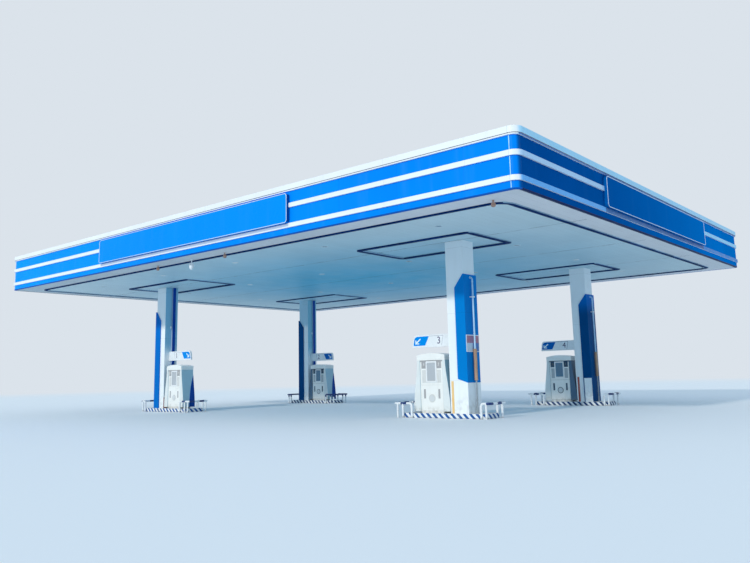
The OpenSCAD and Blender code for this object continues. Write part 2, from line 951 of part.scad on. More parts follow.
fascia_front();
fascia_back();
fascia_left();
fascia_right();
fascia_corners();
coping();
stripe_upper();
stripe_lower();
sign_box_front();
sign_box_left();
sign_box_right();
ceiling();
ceiling_border();
column_loops();
ceiling_lights();
dome_camera();
wrapped_cameras();
roof_deck_front();
roof_deck_back();
roof_gutter();
girders();
cross_beams();
purlins();
ceiling_rails();
ceiling_hangers();
column_front_left();
column_front_right();
column_back_left();
column_back_right();
column_wraps();
base_panels();
column_markers();
notice_plate();
downpipes();
pipe_sleeves();
pipe_brackets();
cable_trunking();
number_boards();
islands();
guards_inner();
guards_outer();
dispenser_front_left();
dispenser_front_right();
dispenser_back_left();
dispenser_back_right();
dispenser_cheeks();
dispenser_fins();
dispenser_heads();
dispenser_screens();
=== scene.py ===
# %% [markdown]
# A filling station canopy is one large flat roof on four columns. Its construction comes from a packed
# CAD model, which this lesson loads as a fixed frame and then dresses: each part gets its real finish,
# and the small things that the frame leaves plain, such as rims, lamps, screws and painted stripes,
# are made here as pieces of their own. All places are in metres, with the ground at Z = 0.

# %% Load the frame
import math

import bmesh
import bpy
from mathutils import Matrix, Vector, noise


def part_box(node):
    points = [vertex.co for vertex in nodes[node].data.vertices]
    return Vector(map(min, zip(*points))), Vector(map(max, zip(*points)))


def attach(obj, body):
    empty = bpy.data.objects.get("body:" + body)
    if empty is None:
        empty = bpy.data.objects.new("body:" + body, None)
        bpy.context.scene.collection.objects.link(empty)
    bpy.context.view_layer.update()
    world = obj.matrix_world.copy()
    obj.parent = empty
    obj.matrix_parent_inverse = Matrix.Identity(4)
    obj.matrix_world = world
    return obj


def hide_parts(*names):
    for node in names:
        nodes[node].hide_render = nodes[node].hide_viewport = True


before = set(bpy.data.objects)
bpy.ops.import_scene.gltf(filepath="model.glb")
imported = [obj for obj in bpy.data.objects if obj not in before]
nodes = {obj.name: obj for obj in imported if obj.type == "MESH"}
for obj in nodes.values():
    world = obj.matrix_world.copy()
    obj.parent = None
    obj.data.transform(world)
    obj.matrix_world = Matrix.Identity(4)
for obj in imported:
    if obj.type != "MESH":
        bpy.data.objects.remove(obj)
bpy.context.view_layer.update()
scene = bpy.context.scene

# %% [markdown]
# Heights and outlines that the pieces must meet are read from the boxes of the frame's nodes. The others,
# such as the places of the columns and lamps, are the sizes that the frame itself was drawn with.

# %% Sizes that the pieces share with the frame
ceiling_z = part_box("ceiling")[0].z
fascia_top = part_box("fascia_front")[1].z
roof_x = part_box("fascia_right")[1].x
roof_y = -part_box("fascia_front")[0].y
front_sign_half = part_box("sign_box_front")[1].x
side_sign_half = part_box("sign_box_right")[1].y
island_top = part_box("islands")[1].z
corner_r, fascia_t, border_inset = 0.230, 0.100, 1.06
column_x, column_y, column_half = 9.4, 5.29, 0.378
wrap_out = column_half + 0.05
dispenser_x = 1.235
lamp_bay, lamp_front = 5.31, -8.345
print("roof", round(2 * roof_x, 2), "by", round(2 * roof_y, 2), "m, ceiling at", round(ceiling_z, 2))

# %% [markdown]
# The camera stands at eye height off the front right corner and looks up a little. Its focal length was
# solved in pixels of a picture 750 wide, so the lens is that share of a 36 mm sensor. Yaw, pitch and roll
# build the view's three axes, which is plainer than chaining rotations. The photograph is slightly cropped:
# its optical axis lies some pixels above the middle, and a small shift gives the render the same framing.

# %% Camera
eye = Vector((24.41356, -28.15925, 1.56817))
yaw, pitch, roll = -0.697222, 0.164883, -0.022456
focal_pixels, picture_width, axis_above_middle = 729.749, 750, 26.59

forward = Vector((math.sin(yaw) * math.cos(pitch), math.cos(yaw) * math.cos(pitch), math.sin(pitch)))
level_right = Vector((math.cos(yaw), -math.sin(yaw), 0))
level_up = level_right.cross(forward)
right = level_right * math.cos(roll) + level_up * math.sin(roll)
up = level_up * math.cos(roll) - level_right * math.sin(roll)

camera = bpy.data.objects.new("camera", bpy.data.cameras.new("camera"))
camera.data.sensor_width = 36
camera.data.lens = focal_pixels * camera.data.sensor_width / picture_width
camera.data.shift_y = -axis_above_middle / picture_width
camera.data.clip_end = 2000
camera.matrix_world = Matrix.Translation(eye) @ Matrix((right, up, -forward)).transposed().to_4x4()
scene.collection.objects.link(camera)
scene.camera = camera
scene.view_settings.view_transform = "Standard"
print("lens", round(camera.data.lens, 2), "mm")

# %% [markdown]
# Shader maths reads best as Python. A Value wraps a socket, and each operator on it adds one Math node.
# A Maker holds a tree: make() adds a node of any type, gives it its settings first and then its sockets.
# The same two classes write materials here and Geometry Nodes trees further down.

# %% Values and nodes
def operator(operation, reflected=False):
    """The method behind a Python operator: it adds a Math node with this operation."""
    def method(self, *other):
        return self.math(operation, *other, self) if reflected else self.math(operation, self, *other)
    return method


class Value:
    """A socket that Python's arithmetic works on."""

    def __init__(self, maker, socket):
        self.maker = maker
        self.socket = socket

    def math(self, operation, *numbers):
        return self.maker.make("ShaderNodeMath", dict(enumerate(numbers)), operation=operation)

    __add__, __radd__ = operator("ADD"), operator("ADD", reflected=True)
    __sub__, __rsub__ = operator("SUBTRACT"), operator("SUBTRACT", reflected=True)
    __mul__, __rmul__ = operator("MULTIPLY"), operator("MULTIPLY", reflected=True)
    __truediv__, __mod__ = operator("DIVIDE"), operator("FLOORED_MODULO")
    __gt__, __lt__, __or__ = operator("GREATER_THAN"), operator("LESS_THAN"), operator("MAXIMUM")
    __abs__, __floor__ = operator("ABSOLUTE"), operator("FLOOR")

    def root(self):
        return self.math("SQRT", self)

    def eased(self, low, high, start=0.0, end=1.0):
        """Start to end, eased, while this value goes from low to high."""
        return self.maker.make("ShaderNodeMapRange", {
            "Value": self, "From Min": low, "From Max": high, "To Min": start, "To Max": end},
            interpolation_type="SMOOTHSTEP")


def find(sockets, key):
    """A socket by its number, its identifier or its name."""
    if isinstance(key, int):
        return sockets[key]
    return next((s for s in sockets if s.identifier == key), None) or sockets[key]


class Maker:
    """A node tree that is being written."""

    def __init__(self, tree):
        self.tree = tree

    def feed(self, socket, value):
        """Links a value to the socket, or sets a number, a vector or a colour on it."""
        if isinstance(value, Value):
            value = value.socket
        if isinstance(value, bpy.types.NodeSocket):
            self.tree.links.new(value, socket)
        elif socket.type == "VECTOR":
            socket.default_value = value[:3]
        else:
            socket.default_value = value

    def add(self, kind, sockets=None, **settings):
        node = self.tree.nodes.new(kind)
        for name, value in settings.items():
            setattr(node, name, value)
        for key, value in (sockets or {}).items():
            self.feed(find(node.inputs, key), value)
        return node

    def make(self, kind, sockets=None, out=0, **settings):
        return Value(self, find(self.add(kind, sockets, **settings).outputs, out))

    def split(self, vector):
        """The three parts of a vector."""
        return [Value(self, socket) for socket in self.add("ShaderNodeSeparateXYZ", {0: vector}).outputs]


print("values add, subtract, multiply, divide, wrap and compare")

# %% [markdown]
# A Finish is a material with one Principled shader. It gives the place on the object as x, y and z, and
# noise that may be stretched along an axis. Colours are written as on a paint chart, from 0 to 255, and
# turned into the linear light that the shader works in.

# %% Finishes
def chart(red, green, blue):
    """A paint chart colour as linear light."""
    def linear(part):
        part = part / 255
        return part / 12.92 if part <= 0.04045 else ((part + 0.055) / 1.055) ** 2.4
    return (linear(red), linear(green), linear(blue), 1.0)


class Finish(Maker):
    """A material and the values that its patterns are made from."""

    def __init__(self, name, **constants):
        self.material = bpy.data.materials.new(name)
        self.material.use_nodes = True
        super().__init__(self.material.node_tree)
        self.shader = self.tree.nodes["Principled BSDF"]
        for socket, value in constants.items():
            self.shader.inputs[socket.replace("_", " ")].default_value = value
        self.place = self.make("ShaderNodeTexCoord", out="Object")
        self.x, self.y, self.z = self.split(self.place)

    def facing(self, axis):
        """How far a face looks along this axis, from -1 to 1."""
        return self.split(self.make("ShaderNodeNewGeometry", out="Normal"))["xyz".index(axis)]

    def noise(self, scale, detail=3.0, stretch=(1, 1, 1)):
        place = self.make("ShaderNodeMapping", {"Vector": self.place, "Scale": stretch})
        return self.make("ShaderNodeTexNoise", {"Vector": place, "Scale": scale, "Detail": detail})

    def drift(self, scale, low, high, detail=3.0, stretch=(1, 1, 1)):
        """A value that wanders from place to place, between low and high."""
        return self.noise(scale, detail, stretch).eased(0.3, 0.7, low, high)

    def mix(self, share, first, second):
        return self.make("ShaderNodeMix", {"Factor_Float": share, "A_Color": first, "B_Color": second},
                         "Result_Color", data_type="RGBA")

    def shade(self, colour, value):
        """The colour made lighter or darker by a value near 1."""
        return self.make("ShaderNodeVectorMath", {0: colour, "Scale": value}, operation="SCALE")

    def lines(self, along, pitch, width, start=0.0):
        """1 on thin lines that repeat every pitch, 0 between them."""
        return abs((along - start + pitch / 2) % pitch - pitch / 2) < width / 2

    def lot(self, number):
        """A random number from 0 to 1, the same wherever this number is the same."""
        return self.make("ShaderNodeTexWhiteNoise", {"W": number}, noise_dimensions="1D")

    def tones(self, along, pitch, start=0.0):
        """A number from 0 to 1 that is the same over each panel between two such lines."""
        return self.lot(math.floor((along - start) / pitch) + 0.5)

    def within(self, along, low, high):
        """1 between low and high, 0 outside."""
        return (along > low) * (along < high)

    def close(self, colour, roughness, height, reach=0.002):
        """Feeds the shader and gives the material back; reach is how deep the height goes, in metres."""
        bump = self.make("ShaderNodeBump", {"Strength": 0.3, "Distance": reach, "Height": height}, "Normal")
        for socket, value in (("Base Color", colour), ("Roughness", roughness), ("Normal", bump)):
            self.feed(self.shader.inputs[socket], value)
        return self.material


def dress(material, *names):
    """Gives the material to every slot of the named nodes."""
    for name in names:
        for slot in nodes[name].material_slots:
            slot.material = material
    print(material.name, "on", ", ".join(names))


# %% [markdown]
# The canopy stands on a plain pale floor under soft studio light: an even sky from all sides, and one
# key straight from the front, low enough to reach in under the roof, which leaves the right side in its
# own shade. What the camera sees behind the floor is a pale tone, mixed in by Is Camera Ray, so that it
# adds no light. The floor takes that tone far from the canopy, and near the canopy it keeps its shadow.

# %% Light and floor
pale = chart(219, 227, 235)
key_from = Vector((0.035, -0.93, 0.367))
floor_reach, fade_start, fade_end = 700.0, 45.0, 110.0

world = bpy.data.worlds.new("studio")
world.use_nodes = True
world.node_tree.nodes.clear()
scene.world = world
sky = Maker(world.node_tree)
rays = sky.add("ShaderNodeLightPath").outputs
seen = Value(sky, rays["Is Camera Ray"]) | rays["Is Glossy Ray"] | rays["Is Transmission Ray"]
even = sky.make("ShaderNodeBackground", {"Color": (0.62, 0.82, 1.0, 1.0), "Strength": 0.77})
backdrop = sky.make("ShaderNodeBackground", {"Color": pale, "Strength": 1.0})
both = sky.make("ShaderNodeMixShader", {0: seen, 1: even, 2: backdrop})
sky.add("ShaderNodeOutputWorld", {"Surface": both})

key = bpy.data.objects.new("key", bpy.data.lights.new("key", "SUN"))
key.data.energy = 1.65
key.data.angle = math.radians(3.5)
key.data.color = (1.0, 0.94, 0.83)
key.rotation_euler = key_from.to_track_quat("Z", "Y").to_euler()
scene.collection.objects.link(key)

floor = bpy.data.objects.new("floor", bpy.data.meshes.new("floor"))
floor_corners = [(x * floor_reach, y * floor_reach, 0) for x, y in ((-1, -1), (1, -1), (1, 1), (-1, 1))]
floor.data.from_pydata(floor_corners, [], [(0, 1, 2, 3)])
scene.collection.objects.link(floor)
ground = Finish("pale floor", Roughness=0.9, Specular_IOR_Level=0.1)
far = (ground.x * ground.x + ground.y * ground.y).eased(fade_start ** 2, fade_end ** 2)
direct = ground.make("ShaderNodeLightPath", out="Is Camera Ray")
glow = ground.make("ShaderNodeEmission", {"Color": pale, "Strength": 1.0})
fade = ground.make("ShaderNodeMixShader", {0: far * direct, 1: ground.shader.outputs[0], 2: glow})
ground.feed(ground.tree.nodes["Material Output"].inputs["Surface"], fade)
tint = ground.mix(direct, chart(222, 236, 244), chart(245, 247, 250))
ground.feed(ground.shader.inputs["Base Color"], tint)
floor.data.materials.append(ground.material)
print("key from the front, floor fades from", fade_start, "to", fade_end, "m")

# %% [markdown]
# Coil coated sheet has an even paint whose tone wanders a little from panel to panel, thin joints between
# panels, and faint dust that rain has drawn downwards. The joints repeat, so a wrapped coordinate makes
# them, and white noise of the panel's number gives each panel its own tone.

# %% Painted sheet
dust, pale_film = chart(196, 198, 196), chart(104, 176, 236)
joint_gap = 0.006


def coated(name, colour, roughness=0.38, joint=None, dusty=0.10, shades=0.05, gloss=0.08, film=dust):
    """A painted sheet finish, with its colour so far, its roughness and its height.

    A joint is given as its axis, its pitch and where the first one lies.
    """
    f = Finish(name, Specular_IOR_Level=gloss)
    colour = colour(f) if callable(colour) else colour
    tone = f.drift(0.35, 1 - shades, 1 + shades, 2.0)
    dips = f.noise(45.0, 2.0) * 0.15
    if joint:
        axis, pitch, start = joint
        along = getattr(f, axis)
        seam = f.lines(along, pitch, joint_gap, start)
        tone = tone * (1.0 + (f.tones(along, pitch, start) - 0.5) * shades) * (1.0 - seam * 0.35)
        dips = dips - seam
    rain = f.noise(3.0, 4.0, (1, 1, 0.07)).eased(0.5, 0.85) * dusty
    paint = f.mix(rain, f.shade(colour, tone), film)
    rough = f.noise(1.3).eased(0.3, 0.75, roughness - 0.06, roughness + 0.10)
    return f, paint, rough, dips


def blue_sheet(name, colour, roughness=0.38, gloss=0.02, **others):
    """A finished blue sheet, on which dust shows as a pale blue film."""
    f, paint, rough, dips = coated(name, colour, roughness, gloss=gloss, film=pale_film, **others)
    return f.close(paint, rough, dips)


print("joints of", joint_gap, "m between painted sheets")

# %% [markdown]
# The fascia is azure on the long sides. The short sides, which the key hardly reaches, carry painted shade:
# a deeper blue, darkest at the front end. Both change a little along their length, the round corners pass
# from one to the other, and the sign boxes follow the side they are on, with painted shade on their ends.

# %% Blues of the fascia and the signs
def azure(f):
    """The blue of the long sides, a little lighter towards the left."""
    return f.mix(f.x.eased(-roof_x, roof_x), chart(3, 150, 252), chart(2, 134, 242))


def shaded_side_blue(f):
    """Painted shade of the short sides: a deeper blue than the azure, darkest towards the front end."""
    return f.mix(f.y.eased(-roof_y, roof_y), chart(1, 84, 160), chart(2, 128, 213))


def corner_shade_blend(f):
    """Azure that passes into the painted shade of the short side as the corner turns away from the key."""
    return f.mix(abs(f.facing("x")).eased(0.70, 1.0), azure(f), shaded_side_blue(f))


def sign_blue_shaded_ends(f):
    """Azure, with the painted shade of the short sides on the ends of the box."""
    return f.mix(abs(f.facing("x")) > 0.7, chart(4, 144, 250), chart(1, 84, 160))


dress(blue_sheet("azure sheet", azure, joint=("x", 2.44, 1.22)), "fascia_front", "fascia_back")
# The short sides carry painted shade in place of the azure.
dress(blue_sheet("azure side sheet", shaded_side_blue, joint=("y", 2.44, 1.22), dusty=0.04, gloss=0.0),
      "fascia_left", "fascia_right")
dress(blue_sheet("corner sheet", corner_shade_blend, 0.34), "fascia_corners")
sign_sheet = blue_sheet("sign sheet", sign_blue_shaded_ends, 0.26, dusty=0.05, shades=0.02)
side_sign_sheet = blue_sheet("side sign sheet", shaded_side_blue, 0.3, 0.0, dusty=0.03, shades=0.02)

# %% [markdown]
# The stripes and the coping are the same white sheet. Its joints come every 3 m, along X on the long sides
# and along Y on the short ones, so the pattern takes whichever way the face runs. On the short sides the
# sheet carries painted shade tinted blue by the sky, and next to the side signs the lower stripe a darker
# painted shade; under the front sign the lower stripe's upper part carries a painted shadow. The coping
# has a thin painted shadow line where its upper band laps over the lip, a deeper painted shade on the lip
# of the short sides, and dust on its top.

# %% White trim
white = chart(240, 243, 246)
stripe_low, stripe_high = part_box("stripe_lower"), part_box("stripe_upper")


def trim(name, near, distant, lap=None, shade_below_signs=False):
    """White sheet; on the short sides it carries painted shade, whose colour goes from near, in front, to
    distant, at the back.
    """
    f = Finish(name, Specular_IOR_Level=0.2)
    sideways = abs(f.facing("x"))
    short = sideways > 0.7
    seam = f.lines(f.x * (1.0 - short) + f.y * short, 3.0, joint_gap, 1.5)
    tone = f.drift(0.5, 0.97, 1.02, 2.0) * (1.0 - seam * 0.3)
    stain = f.noise(5.0, 4.0, (1, 1, 0.1)).eased(0.55, 0.9) * 0.16
    # On the short sides the white carries painted shade tinted blue by the sky.
    sheet = f.mix(sideways.eased(0.75, 1.0), white, f.mix(f.y.eased(-6.0, 6.0), near, distant))
    if lap:
        # The lip under the lap on the short sides carries a deeper painted shade.
        sheet = f.mix((sideways > 0.9) * (f.z < lap), sheet, chart(86, 132, 198))
    if shade_below_signs:
        # Painted shade: dark blue on the lower stripe beside the side signs, and a painted shadow on its
        # upper part under the front sign.
        shade_beside_signs = short * (abs(f.y) < side_sign_half) * 0.75
        rise = f.z.eased(stripe_low[0].z + 0.020, stripe_low[0].z + 0.065)
        before = (f.y < -roof_y) * (abs(f.x) < front_sign_half) * rise * 0.6
        sheet = f.mix(shade_beside_signs, f.mix(before, sheet, chart(120, 150, 190)), chart(28, 76, 140))
    paint = f.mix(stain, f.shade(sheet, tone), chart(178, 182, 186))
    if lap:
        # A thin painted shadow line along the lap of the upper band.
        paint = f.mix(f.within(f.z, lap - 0.014, lap + 0.002) * 0.75, paint, chart(150, 136, 140))
        roof_dust = (f.facing("z") > 0.7) * f.noise(1.2, 5.0).eased(0.35, 0.75, 0.15, 0.6)
        paint = f.mix(roof_dust, paint, chart(170, 168, 162))
    return f.close(paint, f.drift(2.0, 0.32, 0.45), f.noise(40.0) * 0.1 - seam)


dress(trim("white upper stripe", chart(190, 221, 250), chart(158, 222, 255)), "stripe_upper")
dress(trim("white lower stripe", chart(104, 182, 246), chart(48, 138, 214), shade_below_signs=True), "stripe_lower")
# The coping's short sides carry painted shade of the same tint.
coping_side_shade = chart(176, 228, 255)
dress(trim("white coping sheet", coping_side_shade, coping_side_shade, lap=fascia_top + 0.05), "coping")

# %% [markdown]
# The ceiling is made of painted strips 0.3 m wide that run from front to back. From the ground it shows a
# calm pale field with hair-thin seams. Its tones are painted light and shade: the border band near the edges
# of the roof is whitest, and towards the middle it turns to a soft teal, painted shade tinted like light
# bounced up from the floor. The dark strips are a folded sheet, navy below and pale on the edges that look
# along the roof, with a finer line beside them.

# %% Ceiling
f = Finish("ceiling strips", Specular_IOR_Level=0.1)
inside = (abs(f.x) < roof_x - border_inset) * (abs(f.y) < roof_y - border_inset)
across, along = f.x / 12.0, f.y / 9.5
from_middle = (across * across + along * along).root()
# Painted light and shade: the border band is lighter, and the middle turns teal like light bounced from the
# floor.
border_painted_light = f.mix(f.x.eased(-roof_x, roof_x), chart(205, 209, 214), chart(237, 231, 233))
inner_painted_shade = f.mix(from_middle.eased(0.0, 1.45), chart(86, 193, 229), chart(214, 227, 231))
seam = f.lines(f.x, 0.3, 0.005)
tone = f.tones(f.x, 0.3).eased(0.0, 1.0, 0.985, 1.01) * f.drift(0.25, 0.96, 1.03)
field = f.shade(f.mix(inside, border_painted_light, inner_painted_shade), tone * (1.0 - seam * 0.28))
grime = f.noise(1.1, 5.0).eased(0.5, 0.9) * 0.10
dress(f.close(f.mix(grime, field, chart(160, 172, 174)), f.drift(0.9, 0.4, 0.52), f.noise(60.0) * 0.1 - seam),
      "ceiling")

f = Finish("navy strip", Specular_IOR_Level=0.02)
paint = f.mix(abs(f.facing("x")) > 0.7, chart(2, 44, 98), chart(150, 178, 200))
paint = f.shade(paint, f.drift(0.8, 0.8, 1.25, 4.0))
paint = f.mix(f.noise(4.0, 5.0).eased(0.6, 0.9) * 0.03, paint, chart(110, 130, 150))
dress(f.close(paint, f.drift(3.0, 0.5, 0.65), f.noise(60.0) * 0.1), "ceiling_border", "column_loops")

# %% [markdown]
# Roof sheet, gutter and steelwork are seen only from above or through the gaps. Zinc has a spangle: flat
# crystals of slightly different grey, which a Voronoi texture makes from its cells. Primer is matt and
# a little blotchy, with rust starting at its thin places.

# %% Roof metals
def zinc(name, size, wear):
    """Galvanised sheet with crystals of this size, in metres."""
    f = Finish(name, Metallic=0.4)
    spangle = f.make("ShaderNodeTexVoronoi", {"Vector": f.place, "Scale": 1 / size}, "Color")
    grey = f.make("ShaderNodeSeparateColor", {0: spangle})
    tone = grey.eased(0.0, 1.0, 0.93, 1.05) * f.drift(0.5, 0.92, 1.05, 4.0)
    stain = f.noise(1.5, 6.0, (1, 0.25, 1)).eased(0.52, 0.8) * wear
    metal = f.mix(stain, f.shade(chart(178, 182, 186), tone), chart(150, 138, 122))
    return f.close(metal, grey.eased(0.0, 1.0, 0.54, 0.68), f.noise(25.0) * 0.3)


dress(zinc("zinc roof sheet", 0.018, 0.35), "roof_deck_front", "roof_deck_back", "roof_gutter")
dress(zinc("zinc sections", 0.012, 0.25), "purlins", "ceiling_rails", "ceiling_hangers")

f = Finish("grey primer")
paint = f.shade(chart(122, 126, 130), f.drift(1.5, 0.85, 1.12, 5.0))
rust = f.noise(3.5, 8.0).eased(0.62, 0.72) * 0.7
dress(f.close(f.mix(rust, paint, chart(128, 72, 40)), f.drift(4.0, 0.6, 0.8), f.noise(18.0, 6.0)),
      "girders", "cross_beams")

# %% [markdown]
# Columns are clad in white sheet with a few level joints. High up, the left columns' inner sides carry a
# blue-green painted shade, and the back left one's top is bluer. Their wraps are blue sheet, in a deeper
# tone on the left, and darker at the back as painted shade. Dirt gathers where the cladding meets the
# island, so it grows towards the foot.
# The caution strips by the columns are sheet too: worn orange in front on the right, faded red elsewhere.

# %% Columns
def cladding_white(f):
    """White sheet; high up, the left columns' inner sides carry a blue-green painted shade, and the back
    one's top is bluer.
    """
    # Painted shade in blue-green on the left columns' inner sides above about 3 m.
    shaded_inner_side = (f.facing("x") > 0.7) * (f.x < 0.0) * f.z.eased(2.7, 3.6)
    high = (f.x < 0.0) * (f.y > 0.0) * f.z.eased(4.7, 5.0)
    white_with_blue_top = f.mix(high, chart(243, 247, 250), chart(182, 215, 231))
    return f.mix(shaded_inner_side, white_with_blue_top, f.mix(f.y > 0.0, chart(146, 198, 224), chart(150, 206, 226)))


def wrap_blue(f):
    """Blue in front; at the back a darker painted shade, which lightens towards the top on the right one."""
    front = f.mix(f.x > 0.0, chart(3, 111, 200), chart(4, 126, 206))
    # At the back the darker blue is painted shade.
    back = f.mix((f.x > 0.0) * f.z.eased(4.2, 5.0), chart(2, 75, 131), chart(3, 104, 186))
    return f.mix(f.y > 0.0, front, back)


level_joint = ("z", 2.44, 1.36)
f, paint, rough, dips = coated("column cladding", cladding_white, 0.4, level_joint, dusty=0.12, shades=0.03)
foot = f.z.eased(0.2, 1.1, 0.35, 0.0) * f.noise(6.0, 5.0).eased(0.4, 0.7)
dress(f.close(f.mix(foot, paint, chart(176, 172, 164)), rough, dips), "column_front_left",
      "column_front_right", "column_back_left", "column_back_right", "base_panels")
dress(blue_sheet("wrap sheet", wrap_blue, 0.34, joint=level_joint, dusty=0.05), "column_wraps")

f = Finish("caution sheet")
worn = f.noise(2.0, 4.0, (4, 4, 0.5)).eased(0.4, 0.7) * 0.5
orange = f.mix(worn, chart(244, 196, 124), chart(250, 228, 180))
red = f.mix(f.noise(3.0, 4.0).eased(0.4, 0.7) * 0.4, chart(168, 60, 52), chart(196, 120, 104))
caution = f.mix((f.x > 0.0) * (f.y < 0.0), red, orange)
dress(f.close(caution, f.drift(5.0, 0.42, 0.6), f.noise(50.0) * 0.2), "column_markers")

# %% [markdown]
# The notice on the front right column is kept generic: a white frame around plain blocks of colour. Each
# block is a mask on the plate's own Y and Z, so no picture is needed. The cable trunking is blue sheet whose
# narrow sides carry painted light, a pale tone, and the sleeve on each downpipe is tan tape wound round it.

# %% Notice, trunking and pipe sleeves
low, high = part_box("notice_plate")
f = Finish("notice print")
across = (f.y - low.y) / (high.y - low.y)
above = (f.z - low.z) / (high.z - low.z)
top_blocks = f.mix(f.within(across, 0.30, 0.62), chart(176, 116, 140), chart(156, 116, 152))
low_blocks = f.mix(across > 0.48, chart(196, 212, 228), chart(66, 112, 180))
blocks = f.shade(f.mix(above > 0.52, low_blocks, top_blocks), f.drift(7.0, 0.88, 1.1, 4.0))
margin = f.within(across, 0.04, 0.96) * f.within(above, 0.04, 0.95)
dress(f.close(f.mix(margin, chart(232, 234, 238), blocks), f.drift(9.0, 0.35, 0.5), f.noise(40.0) * 0.2),
      "notice_plate")

f, paint, rough, dips = coated("trunking sheet", chart(6, 68, 160), 0.4, ("z", 2.0, 0.5), dusty=0.06)
# The narrow sides' pale tone is painted light.
dress(f.close(f.mix(abs(f.facing("y")) > 0.7, paint, chart(150, 172, 200)), rough, dips), "cable_trunking")

f = Finish("tan sleeve")
wound = f.lines(f.z, 0.05, 0.006)
paint = f.shade(chart(186, 150, 124), f.drift(6.0, 0.8, 1.12, 4.0, (1, 1, 0.3)))
dress(f.close(f.shade(paint, 1.0 - wound * 0.3), f.drift(8.0, 0.5, 0.75), f.noise(30.0) * 0.4 - wound, 0.004),
      "pipe_sleeves")

# %% [markdown]
# Smaller finishes, such as white plastic, the dispensers' enamel, glass and board faces, are plain by
# nature, so their life is in gloss that varies, a fine texture and a little dirt. What stands on an island
# is dirtier near its foot. Some colours differ from one side of the canopy to the other: most of them are
# a lit tone in front and a painted shade at the back, under the roof.

# %% Plain finishes and their tones
def plain(name, colour, roughness, dirt=0.12, grain=40.0, on_island=False, **constants):
    """An even paint, plastic or glass."""
    f = Finish(name, **constants)
    colour = colour(f) if callable(colour) else colour
    dirty = f.noise(4.0, 5.0, (1, 1, 0.15)).eased(0.52, 0.85) * dirt
    paint = f.mix(dirty, f.shade(colour, f.drift(1.5, 0.97, 1.02)), chart(150, 150, 144))
    if on_island:
        low_dirt = f.z.eased(island_top, 0.5, 0.45, 0.0) * f.noise(9.0, 5.0).eased(0.35, 0.7)
        paint = f.mix(low_dirt, paint, chart(140, 134, 124))
    return f.close(paint, f.drift(3.0, roughness - 0.06, roughness + 0.08), f.noise(grain) * 0.2)


def cheek_colour(f):
    """Near white in front with painted shade in pale teal on their sides; at the back the ones by the column
    carry a slate painted shade.
    """
    # Painted shade: pale teal on the sides, and slate on the back ones next to the column.
    cheek_with_shaded_sides = f.mix(abs(f.facing("y")).eased(0.5, 0.8), chart(168, 204, 218), chart(230, 235, 235))
    return f.mix((f.y > 0.0) * (abs(f.x) > 8.3), cheek_with_shaded_sides, chart(64, 104, 134))


def drip_tone(f):
    """The drip edge is blue along the long sides and navy along the short ones."""
    return f.mix(abs(f.y) > roof_y - 0.2, chart(4, 34, 88), chart(4, 92, 186))


def pipe_tone(f):
    """Above its sleeve the pipe is white with painted shade and a painted reflection of the blue around it,
    which tint it cool; below it is a duller grey.
    """
    return f.mix(f.z.eased(2.0, 2.4), chart(150, 160, 168), chart(182, 220, 246))


def lit_front_shaded_back(front, back):
    """A lit colour for what stands at the front, and a painted shade for what stands at the back, under the
    roof.
    """
    return lambda f: f.mix(f.y > 0.0, front, back)


white_plastic = plain("white plastic", chart(240, 244, 247), 0.3)
pipe_plastic = plain("pipe plastic", pipe_tone, 0.32)
bright_trim = plain("bright trim", chart(236, 244, 250), 0.22)
# The strip is real; its bright pale blue is a painted glint along the joint.
cover_glint_trim = plain("cover strip", chart(168, 216, 252), 0.2, dirt=0.05)
pale_frame = plain("pale frame", chart(214, 232, 250), 0.28, dirt=0.04)
drip_paint = plain("drip paint", drip_tone, 0.45, dirt=0.04, Specular_IOR_Level=0.1)
brown_sheet = plain("brown wrapping", chart(190, 146, 126), 0.5, dirt=0.3, grain=24.0)
steel_screw = plain("zinc screw", chart(176, 180, 184), 0.35, Metallic=0.8)
gap_shade = plain("joint shade", chart(26, 44, 60), 0.7)

# %% [markdown]
# The dispensers are white enamel with pale cheeks, a blue fin and grey glass. Those at the back carry
# painted shade, a darker and bluer tone, in their glass, inserts and cover lines, and the boards at the back
# in their blue and lines; the pale grey of the front glass is a painted reflection. The number boards are
# white, blue and dark ink.

# %% Dispensers and number boards
enamel = plain("dispenser enamel", chart(246, 246, 243), 0.32, on_island=True)
cheek_paint = plain("cheek paint", cheek_colour, 0.34, on_island=True)
fin_paint = plain("fin paint", chart(6, 70, 158), 0.35, dirt=0.05, Specular_IOR_Level=0.1)
# The front glass's pale grey is a painted reflection; the back glass's blue is painted shade.
display = plain("display glass", lit_front_shaded_back(chart(186, 191, 197), chart(78, 124, 152)), 0.1, dirt=0.05)
frame_white = plain("display frame", chart(244, 245, 246), 0.28, dirt=0.05)
grey_panel = plain("grey insert", lit_front_shaded_back(chart(220, 220, 218), chart(178, 184, 188)), 0.45)
dark_panel = plain("dark insert", lit_front_shaded_back(chart(168, 167, 170), chart(36, 70, 96)), 0.5)
slot_edge = plain("cover line", lit_front_shaded_back(chart(216, 216, 214), chart(96, 108, 114)), 0.5)
disc_plate = plain("round disc", chart(216, 219, 221), 0.3, dirt=0.06)
board_face = plain("board face", chart(240, 243, 246), 0.28)
board_blue = plain("board blue", lit_front_shaded_back(chart(0, 144, 236), chart(2, 104, 190)), 0.3, dirt=0.02,
                   Specular_IOR_Level=0.03)
arrow_white = plain("arrow white", chart(236, 252, 254), 0.3, dirt=0.02)
board_ink = plain("board ink", chart(70, 60, 104), 0.4, dirt=0.04)
board_line = plain("board line", lit_front_shaded_back(chart(170, 170, 180), chart(20, 60, 110)), 0.4, dirt=0.04)

